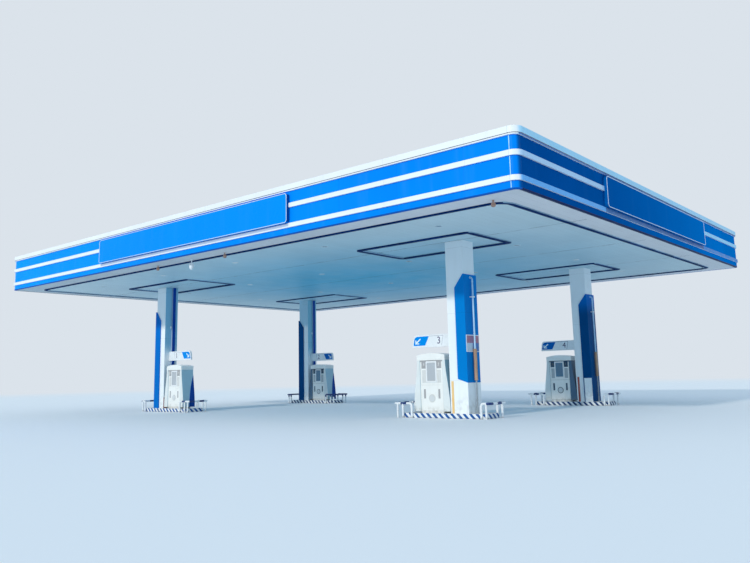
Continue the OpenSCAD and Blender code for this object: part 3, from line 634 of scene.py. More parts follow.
dress(white_plastic, "pipe_brackets")
dress(enamel, "dispenser_front_left", "dispenser_front_right", "dispenser_back_left",
      "dispenser_back_right", "dispenser_heads")
dress(cheek_paint, "dispenser_cheeks")
dress(fin_paint, "dispenser_fins")
dress(display, "dispenser_screens")
dress(board_face, "number_boards")

# %% [markdown]
# A lamp's lens is ribbed plastic. Each lens draws a lot from the number of its place in the grid: most
# look grey, and a few white.

# %% Lamp lenses
f = Finish("lamp lens", Specular_IOR_Level=0.4)
place_x, place_y = math.floor(f.x / lamp_bay + 0.5), math.floor((f.y + lamp_front) / lamp_bay + 0.5)
ribbed = f.lines(f.x, 0.012, 0.003) + f.lines(f.y, 0.012, 0.003)
lens = f.mix(f.lot(place_x * 7.13 + place_y * 3.71) > 0.72, chart(112, 146, 166), chart(244, 247, 248))
lens_glass = f.close(f.shade(lens, f.drift(6.0, 0.94, 1.04)), f.drift(4.0, 0.18, 0.3), ribbed * 0.3)
print("lamps every", lamp_bay, "m")

# %% [markdown]
# From here on, real shapes are added. Most small pieces are closed forms: blocks with softened edges, flat
# outlines with thickness, and turned shapes. All but the blocks are skins over rings of points. A Shape
# gathers such forms in one mesh and repeats them at every column. At the end it closes seams and poles and
# turns all faces outwards, also where a mirrored copy was turned inside out.

# %% Forms
def rounded(length, width, radius, steps):
    """A rectangle's outline with round corners, centred, anticlockwise from the lower left."""
    points = []
    for quarter, (sx, sy) in enumerate([(-1, -1), (1, -1), (1, 1), (-1, 1)]):
        for i in range(steps + 1):
            angle = math.pi * (1 + quarter / 2 + i / steps / 2)
            points.append((sx * (length / 2 - radius) + radius * math.cos(angle),
                           sy * (width / 2 - radius) + radius * math.sin(angle)))
    return points


def oblong(x0, y0, x1, y1):
    """A plain rectangle's outline between two corners."""
    return [(x0, y0), (x1, y0), (x1, y1), (x0, y1)]


class Shape:
    """Closed forms that are gathered into one mesh."""

    def __init__(self):
        self.form = bmesh.new()

    def ring(self, points, place=Matrix()):
        return [self.form.verts.new(place @ Vector(p)) for p in points]

    def skin(self, rings, hollow=False):
        """Faces between neighbouring rings, then a cap on each end, or back to the first ring if hollow."""
        for low, top in zip(rings, rings[1:] + rings[:1] if hollow else rings[1:]):
            for i in range(len(low)):
                j = (i + 1) % len(low)
                self.form.faces.new((low[i], low[j], top[j], top[i]))
        if not hollow:
            self.form.faces.new(rings[0][::-1])
            self.form.faces.new(rings[-1])
        return self

    def block(self, low, high, edge):
        """A box between two corners, with its edges rounded over."""
        made = bmesh.ops.create_cube(self.form, size=1.0)["verts"]
        for v in made:
            v.co = Vector([low[i] if v.co[i] < 0 else high[i] for i in range(3)])
        edges = list({e for v in made for e in v.link_edges})
        bmesh.ops.bevel(self.form, geom=edges, offset=edge, segments=2, affect="EDGES", profile=0.5)
        return self

    def slab(self, outline, thick, place, edge=0.0):
        """A flat outline made thick along Z, its front edge softened, then placed."""
        outline = [Vector(p) for p in outline]
        middle = sum(outline, Vector((0, 0))) / len(outline)
        levels = [(0.0, 0.0), (0.0, thick - edge)] + ([(edge, thick)] if edge else [])
        return self.skin([self.ring([(p.x + math.copysign(inset, middle.x - p.x),
                                      p.y + math.copysign(inset, middle.y - p.y), z) for p in outline], place)
                          for inset, z in levels])

    def turned(self, profile, place, steps):
        """A profile of (radius, z) turned round Z, closed at both ends, then placed."""
        turns = [math.tau * i / steps for i in range(steps)]
        return self.skin([self.ring([(radius * math.cos(a), radius * math.sin(a), z) for a in turns], place)
                          for radius, z in profile])

    def frame(self, length, height, width, radius, thick, place):
        """A flat frame with round corners, its front edges softened by 4 mm."""
        levels = [(0.0, 0.0), (0.0, thick - 0.004), (0.004, thick)]
        levels += [(width - inset, z) for inset, z in levels[::-1]]
        return self.skin([self.ring([(x, y, z) for x, y in rounded(
            length - 2 * inset, height - 2 * inset, radius if inset < width / 2 else radius / 2, 3)], place)
            for inset, z in levels], hollow=True)

    def repeat(self, places):
        """Copies of all that was made so far, one at each place."""
        flat = bpy.data.meshes.new("pattern")
        self.form.to_mesh(flat)
        self.form.clear()
        for place in places:
            copy = flat.copy()
            copy.transform(place)
            self.form.from_mesh(copy)
            bpy.data.meshes.remove(copy)
        bpy.data.meshes.remove(flat)
        return self

    def mesh(self, name):
        """The whole shape as a mesh, its doubles merged and its faces turned outwards."""
        bmesh.ops.remove_doubles(self.form, verts=self.form.verts[:], dist=1e-6)
        bmesh.ops.recalc_face_normals(self.form, faces=self.form.faces[:])
        mesh = bpy.data.meshes.new(name)
        self.form.to_mesh(mesh)
        self.form.free()
        return mesh


print("forms are blocks, slabs, turned shapes and frames")

# %% [markdown]
# Each finished mesh is kept as a piece: it rides on the root body and may stand for a node of the frame,
# which is then hidden. Drawings are made flat and laid against a wall. What stands by a column is drawn once
# at the middle of a right-hand column and mirrored for the left.

# %% Keeping and placing
def keep(name, form, material, slot, *stand_for, soft=None):
    """Adds a Shape or a mesh to the scene as a piece; edges flatter than soft degrees are smoothed."""
    mesh = form.mesh(name) if isinstance(form, Shape) else form
    mesh.materials.clear()
    mesh.materials.append(material)
    if soft is not None:
        mesh.shade_smooth()
        mesh.set_sharp_from_angle(angle=math.radians(soft))
    piece = bpy.data.objects.new(name, mesh)
    scene.collection.objects.link(piece)
    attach(piece, "root")
    if stand_for:
        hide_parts(*stand_for)
    print(name, len(mesh.polygons), "faces")


def against(direction, place):
    """Turns a flat drawing upright and lays it on a wall that looks this way."""
    out = Vector(direction)
    side = Vector((0, 0, 1)).cross(out)
    return Matrix.Translation(place) @ Matrix((side, Vector((0, 0, 1)), out)).transposed().to_4x4()


def at(x, y, z):
    return Matrix.Translation((x, y, z))


corners = [(sx, sy) for sx in (-1, 1) for sy in (-1, 1)]
columns = [at(sx * column_x, sy * column_y, 0) @ Matrix.Diagonal((sx, 1, 1, 1)) for sx, sy in corners]
both_faces = [Matrix(), Matrix.Diagonal((1, -1, 1, 1))]
dispensers = [column @ at(-dispenser_x, 0, 0) @ side for column in columns for side in both_faces]
print(len(columns), "columns,", len(dispensers), "dispenser faces")

# %% [markdown]
# What repeats or follows a path is a Geometry Nodes tree. A Recipe is such a tree with named sizes. It is
# cooked into a plain mesh: the sizes are set by each socket's identifier, the evaluated result becomes a
# mesh of its own, and the modifier goes away. Each recipe ends in Realize Instances and Set Material.

# %% Recipes
class Recipe(Maker):
    """A Geometry Nodes tree with named sizes."""

    def __init__(self, name, **sizes):
        super().__init__(bpy.data.node_groups.new(name, "GeometryNodeTree"))
        new = self.tree.interface.new_socket
        new("Piece", in_out="OUTPUT", socket_type="NodeSocketGeometry")
        kinds = {"Path": "Geometry", "Finish": "Material"}
        for size, value in sizes.items():
            kinds[size] = "Int" if isinstance(value, int) else "Float"
        self.keys = {size: new(size, in_out="INPUT", socket_type="NodeSocket" + kind).identifier
                     for size, kind in kinds.items()}
        self.sizes = sizes
        self.door = self.add("NodeGroupInput")

    def __getitem__(self, size):
        return Value(self, find(self.door.outputs, self.keys[size]))

    def vector(self, x=0.0, y=0.0, z=0.0):
        return self.make("ShaderNodeCombineXYZ", {0: x, 1: y, 2: z})

    def moved(self, shape, place, size=(1, 1, 1)):
        return self.make("GeometryNodeTransform", {"Geometry": shape, "Translation": place, "Scale": size})

    def points(self, across, deep, step_x, step_y):
        """A flat grid of points, so many across and deep, at these steps."""
        return self.make("GeometryNodeMeshGrid", {
            "Vertices X": across, "Vertices Y": deep, "Size X": (across - 1.0) * step_x,
            "Size Y": (deep - 1.0) * step_y})

    def bent(self, curve, radius, steps):
        """The curve with its corners rounded."""
        return self.make("GeometryNodeFilletCurve", {"Curve": curve, "Count": steps, "Radius": radius},
                         mode="POLY")

    def circle(self, steps, radius):
        return self.make("GeometryNodeCurvePrimitiveCircle", {"Resolution": steps, "Radius": radius})

    def rectangle(self, width, height):
        return self.make("GeometryNodeCurvePrimitiveQuadrilateral", {"Width": width, "Height": height})

    def sweep(self, curve, section, caps=False):
        return self.make("GeometryNodeCurveToMesh", {
            "Curve": curve, "Profile Curve": section, "Fill Caps": caps})

    def on_points(self, points, shape, size=(1, 1, 1)):
        return self.make("GeometryNodeInstanceOnPoints", {"Points": points, "Instance": shape, "Scale": size})

    def join(self, *shapes):
        node = self.add("GeometryNodeJoinGeometry")
        for shape in shapes:
            self.feed(node.inputs[0], shape)
        return Value(self, node.outputs[0])

    def serve(self, shape):
        real = self.make("GeometryNodeRealizeInstances", {0: shape})
        clad = self.make("GeometryNodeSetMaterial", {"Geometry": real, "Material": self["Finish"]})
        self.add("NodeGroupOutput", {0: clad})

    def cook(self, name, material, slot, *stand_for, path=None, place=Matrix(), soft=None, **changes):
        """Makes the mesh with these changes to the sizes and keeps it as a piece."""
        draft = bpy.data.objects.new("draft", path or bpy.data.meshes.new("draft"))
        scene.collection.objects.link(draft)
        step = draft.modifiers.new("recipe", "NODES")
        step.node_group = self.tree
        for size, value in {**self.sizes, **changes, "Finish": material}.items():
            step[self.keys[size]] = value
        mesh = evaluated(draft)
        mesh.name = name
        mesh.transform(place)
        keep(name, mesh, material, slot, *stand_for, soft=soft)


def evaluated(draft):
    """The plain mesh of an object as its modifiers or its curve make it; the draft goes away."""
    bpy.context.view_layer.update()
    mesh = bpy.data.meshes.new_from_object(draft.evaluated_get(bpy.context.evaluated_depsgraph_get()))
    bpy.data.objects.remove(draft)
    return mesh


print("a recipe's sizes are numbers, whole or not")

# %% [markdown]
# Thin folded trims follow the outline of the roof and of the sign boxes: a rectangle with round corners.
# One recipe sweeps a small rectangular section along such an outline. It makes the drip edge at the foot
# of the fascia, in two folds, and the pale rims round the sign faces.

# %% Trim recipe
swept = Recipe("trim", Length=1.0, Width=1.0, Radius=0.1, Depth=0.01, Height=0.01)
outline = swept.bent(swept.rectangle(swept["Length"], swept["Width"]), swept["Radius"], 10)
swept.serve(swept.sweep(outline, swept.rectangle(swept["Depth"], swept["Height"])))
swept.cook("fascia_drip_trim", drip_paint, "navy_strip", place=at(0, 0, ceiling_z + 0.017),
           Length=2 * roof_x - 0.006, Width=2 * roof_y - 0.006, Radius=corner_r, Depth=0.016, Height=0.034)
swept.cook("fascia_drip_flange", drip_paint, "navy_strip", place=at(0, 0, ceiling_z),
           Length=2 * roof_x - fascia_t, Width=2 * roof_y - fascia_t, Radius=corner_r - fascia_t / 2,
           Depth=fascia_t + 0.004, Height=0.006)

# %% [markdown]
# A sign box is a shallow tray with round corners. Its face sits a few millimetres back inside a pale rim.
# The box of the frame gives its place, so the tray and its rim are laid against that wall.

# %% Sign boxes
def sign(node, direction, sheet, slot):
    """A tray and a rim in place of a sign box that looks this way."""
    low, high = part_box(node)
    out = Vector(direction)
    size = high - low
    depth, length = abs(size.dot(out)), abs(size.dot(out.cross(Vector((0, 0, 1)))))
    wall = against(out, (low + high) / 2 - out * depth / 2)
    face, corner, rim = depth - 0.008, 0.12, 0.022
    tray = Shape().slab(rounded(length, size.z, corner, 10), face, wall)
    keep(node + "_tray", tray, sheet, slot, node, soft=40)
    swept.cook(node + "_rim", pale_frame, "white_trim", place=wall @ at(0, 0, face), Length=length - rim,
               Width=size.z - rim, Radius=corner - rim / 2, Depth=rim, Height=0.015)


sign("sign_box_front", (0, -1, 0), sign_sheet, "azure_panel")
sign("sign_box_right", (1, 0, 0), side_sign_sheet, "blue_panel")
sign("sign_box_left", (-1, 0, 0), side_sign_sheet, "blue_panel")

# %% [markdown]
# Where a flat fascia meets a round corner, a cover strip hides the joint; its bright pale blue is a painted
# glint. It is cut at the stripes, so each joint has three short strips, and the lowest one ends in a small
# pale button.

# %% Corner cover strips
covers = Shape()
levels = [ceiling_z + 0.036, stripe_low[0].z, stripe_low[1].z, stripe_high[0].z, stripe_high[1].z,
          fascia_top - 0.002]
for low, top in zip(levels[::2], levels[1::2]):
    covers.block((-0.014, -0.004, low + 0.003), (0.014, 0.006, top - 0.003), 0.003)
covers.turned([(0.0, -0.002), (0.02, -0.002), (0.02, 0.006), (0.014, 0.011), (0.0, 0.012)],
              against((0, 1, 0), (0, 0, ceiling_z + 0.06)), 20)
covers.repeat([at(sx * (roof_x - corner_r), sy * roof_y, 0) @ Matrix.Diagonal((1, sy, 1, 1))
               for sx, sy in corners])
keep("corner_cover_strips", covers, cover_glint_trim, "white_trim", soft=30)

# %% [markdown]
# The ceiling's strips butt together on three lines. Each butt joint gapes by a different amount, which
# shows from below as a row of short dark dashes. A line of instances with a seeded random width makes them.

# %% Ceiling joint gaps
gaps = Recipe("joint gaps", Strips=98, Pitch=0.3, Least=0.006, Most=0.034, Seed=4)
start = gaps["Strips"] * gaps["Pitch"] * -0.5 + gaps["Pitch"] * 0.5
line = gaps.make("GeometryNodeMeshLine", {
    "Count": gaps["Strips"], "Start Location": gaps.vector(start), "Offset": gaps.vector(gaps["Pitch"])})
cube = gaps.make("GeometryNodeMeshCube", {"Size": (1, 1, 1)})
open_by = gaps.make("FunctionNodeRandomValue", {
    "Min_001": gaps["Least"], "Max_001": gaps["Most"], "Seed": gaps["Seed"]}, "Value_001", data_type="FLOAT")
gaps.serve(gaps.on_points(line, cube, gaps.vector(gaps["Pitch"] * 0.96, open_by, 0.0016)))
for number, y in enumerate((-5.69, -0.38, 4.93)):
    gaps.cook(f"ceiling_joint_{number + 1}", gap_shade, "ceiling_panel", Seed=4 + number,
              place=at(0, y, ceiling_z))

# %% [markdown]
# Twenty round lamps sit in the ceiling on a regular grid. A grid of points carries one ring, and another
# such grid one shallow lens; both come from primitives inside the tree.

# %% Ceiling lamps
def lamp_grid(name):
    """A recipe and its grid of points in the plane of the ceiling."""
    grid = Recipe(name, Bay=lamp_bay, Front=lamp_front, Across=5, Deep=4, Radius=0.125)
    points = grid.points(grid["Across"], grid["Deep"], grid["Bay"], grid["Bay"])
    middle = grid["Front"] + (grid["Deep"] - 1.0) * grid["Bay"] * 0.5
    return grid, grid.moved(points, grid.vector(0.0, middle, ceiling_z))


grid, points = lamp_grid("lamp rims")
ring = grid.sweep(grid.circle(40, grid["Radius"] + 0.003), grid.circle(10, 0.0085))
grid.serve(grid.on_points(points, ring))
grid.cook("lamp_rims", bright_trim, "lamp_lens", "ceiling_lights", soft=40)

grid, points = lamp_grid("lamp lenses")
ball = grid.make("GeometryNodeMeshUVSphere", {"Segments": 40, "Rings": 12, "Radius": grid["Radius"]})
grid.serve(grid.on_points(points, grid.moved(ball, (0, 0, 0.002), (1, 1, 0.085))))
grid.cook("lamp_lenses", lens_glass, "lamp_lens", "ceiling_lights", soft=40)

# %% [markdown]
# Two kinds of camera hang near the front edge. One is a white dome on a stem, turned from one profile.
# The three others are wrapped in brown sheet tied at the neck, so their bags are turned shapes whose
# surface is pushed in and out by noise, which gives folds without a simulation.

# %% Cameras
low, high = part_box("dome_camera")
dome = Shape().turned([(0.0, 0.0), (0.055, 0.0), (0.055, -0.008), (0.026, -0.016), (0.022, -0.022),
                       (0.022, -0.135), (0.03, -0.142), (0.052, -0.155), (0.080, -0.178), (0.096, -0.215),
                       (0.100, -0.262), (0.100, -0.276), (0.095, -0.279), (0.095, -0.285), (0.099, -0.289),
                       (0.092, -0.335), (0.074, -0.380), (0.047, -0.418), (0.020, -0.440), (0.0, -0.446)],
                      at((low.x + high.x) / 2, (low.y + high.y) / 2, ceiling_z), 40)
keep("dome_camera_shell", dome, white_plastic, "white_plastic", "dome_camera", soft=35)


def bag(centre, seed):
    """A wrapped camera: a neck, a tied fold and a loose bag below."""
    drum = Shape().turned([(0.0, 0.0), (0.040, 0.0), (0.040, -0.006), (0.024, -0.010), (0.024, -0.045),
                           (0.034, -0.055), (0.028, -0.064), (0.046, -0.075), (0.064, -0.092),
                           (0.071, -0.115), (0.074, -0.140), (0.071, -0.165), (0.062, -0.187),
                           (0.044, -0.201), (0.020, -0.208), (0.0, -0.209)], Matrix(), 36)
    for v in drum.form.verts:
        if v.co.z < -0.05:
            from_axis = Vector((v.co.x, v.co.y, 0))
            spot = Vector((v.co.x, v.co.y, v.co.z * 0.45)) * 26 + Vector((seed, 0, 0))
            crease = abs(noise.noise(spot)) * 0.022 + noise.noise(spot * 2.7) * 0.006
            v.co -= from_axis.normalized() * min(crease, from_axis.length * 0.4)
    return drum.repeat([centre])


low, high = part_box("wrapped_cameras")
for number, x in enumerate((-2.88, 1.69, 13.89)):
    keep(f"camera_bag_{number + 1}", bag(at(x, (low.y + high.y) / 2, ceiling_z), 7.3 * number), brown_sheet,
         "brown_wrapping", "wrapped_cameras", soft=60)

# %% [markdown]
# Pipes and guards are tubes that follow a path. The path is drawn as plain edges, and the recipe rounds
# its bends, sweeps a circle along it and stores how far each point lies along the tube, so that a finish
# can lay bands round it.

# %% Tube recipe
tube = Recipe("tube", Radius=0.045, Bend=0.1, Sides=24)
path = tube.bent(tube.make("GeometryNodeMeshToCurve", {"Mesh": tube["Path"]}), tube["Bend"], 8)
run = tube.make("GeometryNodeSplineParameter", out="Length")
marked = tube.make("GeometryNodeStoreNamedAttribute", {"Geometry": path, "Name": "run", "Value": run},
                   data_type="FLOAT", domain="POINT")
tube.serve(tube.sweep(marked, tube.circle(tube["Sides"], tube["Radius"]), caps=True))


def route(name, lines, places):
    """Open lines as a mesh of bare edges, repeated at each place."""
    points, edges = [], []
    for place in places:
        for line in lines:
            first = len(points)
            points += [place @ Vector(p) for p in line]
            edges += [(first + i, first + i + 1) for i in range(len(line) - 1)]
    mesh = bpy.data.meshes.new(name)
    mesh.from_pydata(points, edges, [])
    return mesh


print("tube recipe with", len(tube.keys), "inputs")

# %% [markdown]
# A downpipe leaves the wrap, turns down in a wide bend and ends on the island. Sockets a little wider than
# the pipe show where its lengths join. Beside the trunking each column carries one small white fitting.

# %% Downpipes and fittings
pipe_x, pipe_top = wrap_out + 0.092, 5.11
downpipe = [(wrap_out - 0.01, 0, pipe_top), (pipe_x, 0, pipe_top), (pipe_x, 0, island_top)]
tube.cook("downpipe_tubes", pipe_plastic, "white_plastic", "downpipes", soft=50,
          path=route("downpipe", [downpipe], columns), Radius=0.031, Bend=0.085)
collars = Shape()
for z in (4.92, 3.0, 0.62):
    collars.turned([(0.0, 0.0), (0.033, 0.0), (0.037, 0.004), (0.037, 0.056), (0.033, 0.06), (0.0, 0.06)],
                   at(pipe_x, 0, z), 24)
collars.turned([(0.0, 0.0), (0.05, 0.0), (0.05, 0.008), (0.036, 0.014), (0.0, 0.014)],
               at(wrap_out - 0.001, 0, pipe_top) @ Matrix.Rotation(math.pi / 2, 4, "Y"), 24)
collars.turned([(0.0, 0.0), (0.06, 0.0), (0.052, 0.02), (0.036, 0.03), (0.0, 0.03)],
               at(pipe_x, 0, island_top), 24)
keep("pipe_collars", collars.repeat(columns), pipe_plastic, "white_plastic", soft=40)

fitting = Shape().block((-column_half - 0.055, -0.075, 4.34), (-column_half + 0.002, -0.015, 4.44), 0.008)
fitting.turned([(0.0, 0.0), (0.018, 0.0), (0.022, 0.02), (0.0, 0.02)],
               at(-column_half - 0.035, -0.045, 4.32), 20)
keep("column_fittings", fitting.repeat(columns), white_plastic, "white_plastic", soft=40)

# %% [markdown]
# Each number board carries a blue field with a slanted end, a white arrow, the number of its column and a
# thin slanted line that runs on along the top edge as a painted shadow line, the same on both sides. They
# are thin plates. The number is a text object turned into a mesh, because a plain number is all that the
# board says here.

# %% Number boards
board_low, board_high, board_root = 2.62, 3.09, -column_half
board_tip, board_y, board_out = board_root - 1.89, -0.04, 0.0408
board_middle = (board_low + board_high) / 2


def plate(name, outline, material, thick=0.0022):
    """A flat drawing in X and Z, kept as a thin plate on both sides of each board."""
    form = Shape().slab(outline, thick, against((0, -1, 0), (0, -board_out + 0.0012, 0)))
    form.repeat([column @ at(0, board_y, 0) @ side for column in columns for side in both_faces])
    keep(name, form, material, "board_white")


plate("board_blue_fields", [
    (board_tip + 0.045, board_low + 0.070), (board_tip + 0.60, board_low + 0.070),
    (board_tip + 0.79, board_high - 0.05), (board_tip + 0.235, board_high - 0.05),
    (board_tip + 0.16, board_high - 0.075), (board_tip + 0.10, board_high - 0.135)], board_blue)
# The line's run along the top edge is a painted shadow along that edge.
plate("board_lines_and_top_shadow", [
    (board_root - 0.53, board_low + 0.05), (board_root - 0.515, board_low + 0.05),
    (board_root - 0.435, board_high - 0.04), (board_tip + 0.80, board_high - 0.04),
    (board_tip + 0.795, board_high - 0.055), (board_root - 0.4525, board_high - 0.055)], board_line)
arrow = [(-0.10, -0.07), (0.02, -0.07), (0.02, -0.045), (-0.045, -0.045), (0.075, 0.05), (0.055, 0.075),
         (-0.07, -0.02), (-0.07, 0.03), (-0.10, 0.03)]
plate("board_arrows", [(board_tip + 0.29 + 1.5 * x, board_middle + 1.5 * z) for x, z in arrow], arrow_white,
      0.0034)


def numeral(text, height, place):
    """A printed number as a thin solid mesh; its digits are 0.72 of the font's size."""
    curve = bpy.data.curves.new("numeral", "FONT")
    curve.body, curve.size, curve.align_x, curve.align_y = text, height / 0.72, "CENTER", "CENTER"
    curve.extrude = 0.0012
    draft = bpy.data.objects.new("numeral", curve)
    scene.collection.objects.link(draft)
    mesh = evaluated(draft)
    mesh.transform(place)
    return mesh


numbers = Shape()
for count, column in enumerate(columns):
    for sy in (-1, 1):
        centre = column @ Vector((board_root - 0.65, board_y, board_middle)) + Vector((0, sy * board_out, 0))
        numbers.form.from_mesh(numeral(str(count + 1), 0.27, against((0, sy, 0), centre)))
keep("board_numbers", numbers, board_ink, "board_white")

# %% [markdown]
# The island's kerb is cast concrete with a rounded nose, painted with slanted blue and white stripes that
# run on round its ends. For that the kerb is a mesh of rings, and its UV map holds the way round the
# outline and the way up its side, both in metres, so the stripes keep their slope and width in the bends.

# %% Kerbs
island_low, island_high, island_width, nose = -2.55, 1.15, 1.0, 0.12
island_length = island_high - island_low
profile = [(0.0, 0.0), (0.0, 0.140), (0.006, 0.160), (0.018, 0.174), (0.036, island_top), (0.075, island_top)]


def ways(points):
    """How far each point lies along the line through them all."""
    far = [0.0]
    for a, b in zip(points, points[1:]):
        far.append(far[-1] + math.dist(a, b))
    return far


outer = rounded(island_length, island_width, nose, 10)
rounds, rises = ways(outer + outer[:1]), ways(profile)
kerbs = Shape()
kerb_map = kerbs.form.loops.layers.uv.new("kerb")


def kerb_face(points, places):
    """A face whose corners have these places on the map."""
    for loop, place in zip(kerbs.form.faces.new(points).loops, places):
        loop[kerb_map].uv = place


for sx, sy in corners:
    centre = at(sx * (column_x + (island_low + island_high) / 2), sy * column_y, 0)
    rings = []
    for inset, z in profile:
        line = rounded(island_length - 2 * inset, island_width - 2 * inset, nose - inset, 10)
        rings.append(kerbs.ring([(x, y, z) for x, y in line], centre))
    for low, top, low_rise, top_rise in zip(rings, rings[1:], rises, rises[1:]):
        for i in range(len(outer)):
            j = (i + 1) % len(outer)
            kerb_face((low[i], low[j], top[j], top[i]), ((rounds[i], low_rise), (rounds[i + 1], low_rise),
                                                         (rounds[i + 1], top_rise), (rounds[i], top_rise)))
    for ring, rise in ((rings[0][::-1], 0.0), (rings[-1], rises[-1])):
        kerb_face(ring, [(0.0, rise)] * len(ring))
print("kerb", round(rounds[-1], 2), "m round")

# %% [markdown]
# The stripes wrap round the kerb a whole number of times. Their paint is worn through to the concrete in
# patches, and road dirt lies along the foot.

# %% Kerb paint
f = Finish("kerb paint", Specular_IOR_Level=0.15)
around, rise = f.split(f.make("ShaderNodeUVMap", out="UV", uv_map="kerb"))[:2]
wobble = (f.noise(9.0) - 0.5) * 0.012
stripe = ((around + rise + wobble) % (rounds[-1] / 34)).eased(0.128, 0.134, 1.0, 0.0) * (rise < 0.185)
# The back kerbs' darker blue is painted shade.
kerb_blue_shaded_back = f.mix(f.y > 0.0, chart(2, 82, 154), chart(2, 56, 112))
concrete = f.shade(chart(172, 174, 172), f.drift(14.0, 0.86, 1.08, 6.0))
paint = f.mix(rise.eased(0.225, 0.245), f.mix(stripe, chart(238, 240, 242), kerb_blue_shaded_back), concrete)
worn = f.noise(7.0, 7.0).eased(0.60, 0.68) * 0.55
grime = f.z.eased(0.0, 0.07, 0.55, 0.0) * f.noise(5.0, 5.0).eased(0.3, 0.65)
paint = f.mix(grime, f.mix(worn * (rise < 0.23), paint, concrete), chart(120, 116, 108))
kerb_paint = f.close(paint, f.drift(6.0, 0.45, 0.68), f.noise(60.0, 5.0) - worn * 0.6, 0.003)
keep("kerbs", kerbs, kerb_paint, "island_concrete", "islands", soft=50)

# %% [markdown]
# The guards are bent tubes, each a U in plan whose arms turn down to the ground, with straight legs under
# it. White paint carries blue bands on the rails. The bands read the stored distance along the tube. On the
# back left column all the rails are navy.

# %% Guards
f = Finish("guard paint")
run = f.make("ShaderNodeAttribute", out="Fac", attribute_name="run")
band = ((run + 0.40) % 0.56).eased(0.270, 0.276, 1.0, 0.0) * (f.z > 0.46)
all_navy = (f.x < 0.0) * (f.y > 0.0) * (f.z > 0.4)
paint = f.mix(band | all_navy, chart(240, 243, 246), chart(9, 48, 112))
chips = f.noise(16.0, 6.0).eased(0.66, 0.70) * 0.7
paint = f.mix(chips, f.shade(paint, f.drift(2.0, 0.95, 1.03)), chart(126, 100, 84))
foot = f.z.eased(0.0, 0.12, 0.6, 0.0) * f.noise(9.0, 4.0).eased(0.3, 0.6)
guard_paint = f.close(f.mix(foot, paint, chart(118, 112, 104)), f.drift(5.0, 0.26, 0.42),
                      f.noise(30.0) * 0.2 - chips, 0.001)

guard_y, guard_z, rail_r, leg_r = 0.5453, 0.535, 0.045, 0.041


def guard(name, node, end, arm, legs):
    """One U-shaped tube with its straight legs; arm is signed, along local X from the closed end."""
    tip = end + arm
    rail = [(tip, -guard_y, 0.0), (tip, -guard_y, guard_z), (end, -guard_y, guard_z),
            (end, guard_y, guard_z), (tip, guard_y, guard_z), (tip, guard_y, 0.0)]
    feet = [(end + math.copysign(leg, arm), y) for leg in legs for y in (-guard_y, guard_y)]
    posts = [[(x, y, 0.0), (x, y, guard_z)] for x, y in feet]
    for piece, lines, radius, bend in ((name, [rail], rail_r, 0.1), (name + "_legs", posts, leg_r, 0.0)):
        tube.cook(piece, guard_paint, "guard_paint", node, soft=50, path=route(piece, lines, columns),
                  Radius=radius, Bend=bend)


guard("inner_guard_tubes", "guards_inner", -2.86, 0.81, (0.146, 0.396))
guard("outer_guard_tubes", "guards_outer", 1.36, -0.35, (0.146,))

# %% [markdown]
# A dispenser's face is a set of thin parts on the cabinet: a frame round the display, grey inserts beside
# it, dark nozzle panels under the head, a dark band just under the head's edge that is a painted shadow,
# two slots, a bare round disc, and lines where the covers meet.
# Each is drawn once in the dispenser's own X and Z and repeated on both faces of all four.

# %% Dispenser faces
face_out = 0.33
on_face = against((0, -1, 0), (0, -face_out, island_top))


def front_block(shape, x, half, low, high, proud, deep, edge):
    """A block across the front, between two heights over the island, that stands proud of the cabinet."""
    shape.block((x - half, -face_out - proud, island_top + low),
                (x + half, -face_out + deep, island_top + high), edge)


def on_dispensers(name, shape, material, soft=None):
    keep(name, shape.repeat(dispensers), material, "dispenser_white", soft=soft)


display_frame = Shape().frame(0.49, 0.79, 0.055, 0.03, 0.026, on_face @ at(0, 1.51, 0))
on_dispensers("display_frames", display_frame, frame_white, 30)

inserts, darks, nozzles, lines = Shape(), Shape(), Shape(), Shape()
for x in (-0.345, 0.345):
    inserts.slab(oblong(x - 0.085, 1.11, x + 0.085, 1.58), 0.005, on_face, 0.002)
on_dispensers("grey_inserts", inserts, grey_panel)

for x in (-0.34, 0.34):
    front_block(darks, x, 0.115, 1.635, 1.90, 0.004, 0.02, 0.004)
    darks.slab(oblong(x * 0.97 - 0.042, 0.53, x * 0.97 + 0.042, 0.87), 0.003, on_face)
    spout = at(x, -face_out - 0.012, island_top + 1.735) @ Matrix.Rotation(math.radians(-14), 4, "X")
    nozzles.turned([(0.0, 0.0), (0.013, 0.0), (0.015, 0.03), (0.024, 0.04), (0.026, 0.09), (0.02, 0.13),
                    (0.0, 0.14)], spout, 20)
    front_block(nozzles, x, 0.035, 1.725, 1.745, 0.022, 0.01, 0.005)
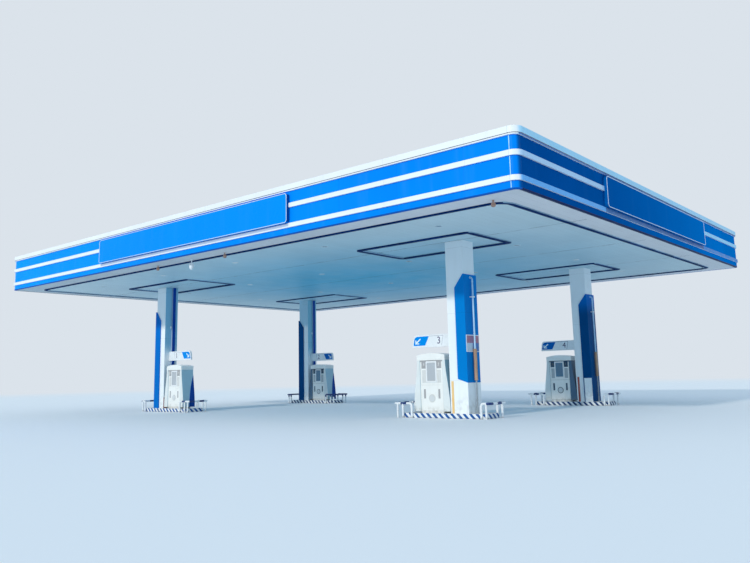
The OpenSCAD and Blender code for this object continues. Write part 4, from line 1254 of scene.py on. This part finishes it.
# A painted shadow: a dark band just under the head's edge.
front_block(darks, 0.0, 0.52, 1.885, 1.938, 0.006, 0.01, 0.002)
on_dispensers("nozzle_panels_slots_and_head_shadow", darks, dark_panel)
on_dispensers("nozzle_holders", nozzles, slot_edge, 40)

for z in (0.085, 1.02):
    lines.slab(oblong(-0.50, z, 0.50, z + 0.008), 0.0012, on_face)
for x in (-0.505, 0.495):
    lines.slab(oblong(x, 0.07, x + 0.008, 1.90), 0.0012, on_face)
on_dispensers("cover_lines", lines, slot_edge)

at_disc = on_face @ at(0, 0.535, 0)
rim = [(0.0, 0.0), (0.150, 0.0), (0.151, 0.003), (0.146, 0.006), (0.0, 0.006)]
disc = [(0.0, 0.005), (0.118, 0.005), (0.117, 0.010), (0.112, 0.0105), (0.0, 0.0105)]
on_dispensers("disc_rims", Shape().turned(rim, at_disc, 40), slot_edge, 30)
on_dispensers("round_discs", Shape().turned(disc, at_disc, 40), disc_plate, 30)

# %% [markdown]
# The roof sheet is screwed down through its ribs at every purlin. A grid of points over each sloping half
# carries a washer and a hexagonal head, and is turned to the slope, so each screw sits square on its rib.
# The back half is laid out first, and half a turn gives the front one.

# %% Roof screws
screws = Recipe("roof screws", Ribs=60, Rows=6, Pitch=0.5, Spacing=2.0962, Head=0.011)
points = screws.points(screws["Ribs"], screws["Rows"], screws["Pitch"], screws["Spacing"])
washer, head = (screws.make("GeometryNodeMeshCylinder", {"Vertices": sides, "Radius": radius, "Depth": depth})
                for sides, radius, depth in ((12, screws["Head"] * 1.7, 0.003), (6, screws["Head"], 0.012)))
screw = screws.join(washer, screws.moved(head, (0, 0, 0.006)))
screws.serve(screws.on_points(points, screw))

roof_foot, roof_fall, roof_run = (0, 0.220, 7.560), 0.150, 10.680
first_row, rib_top = 0.060, 0.1725
middle_row = first_row + (screws.sizes["Rows"] - 1) / 2 * screws.sizes["Spacing"]
for turn, name in ((0.0, "roof_screws_back"), (math.pi, "roof_screws_front")):
    place = (Matrix.Rotation(turn, 4, "Z") @ at(*roof_foot) @
             Matrix.Rotation(math.atan(roof_fall / roof_run), 4, "X") @ at(0, middle_row, rib_top))
    screws.cook(name, steel_screw, "zinc_sheet", place=place)
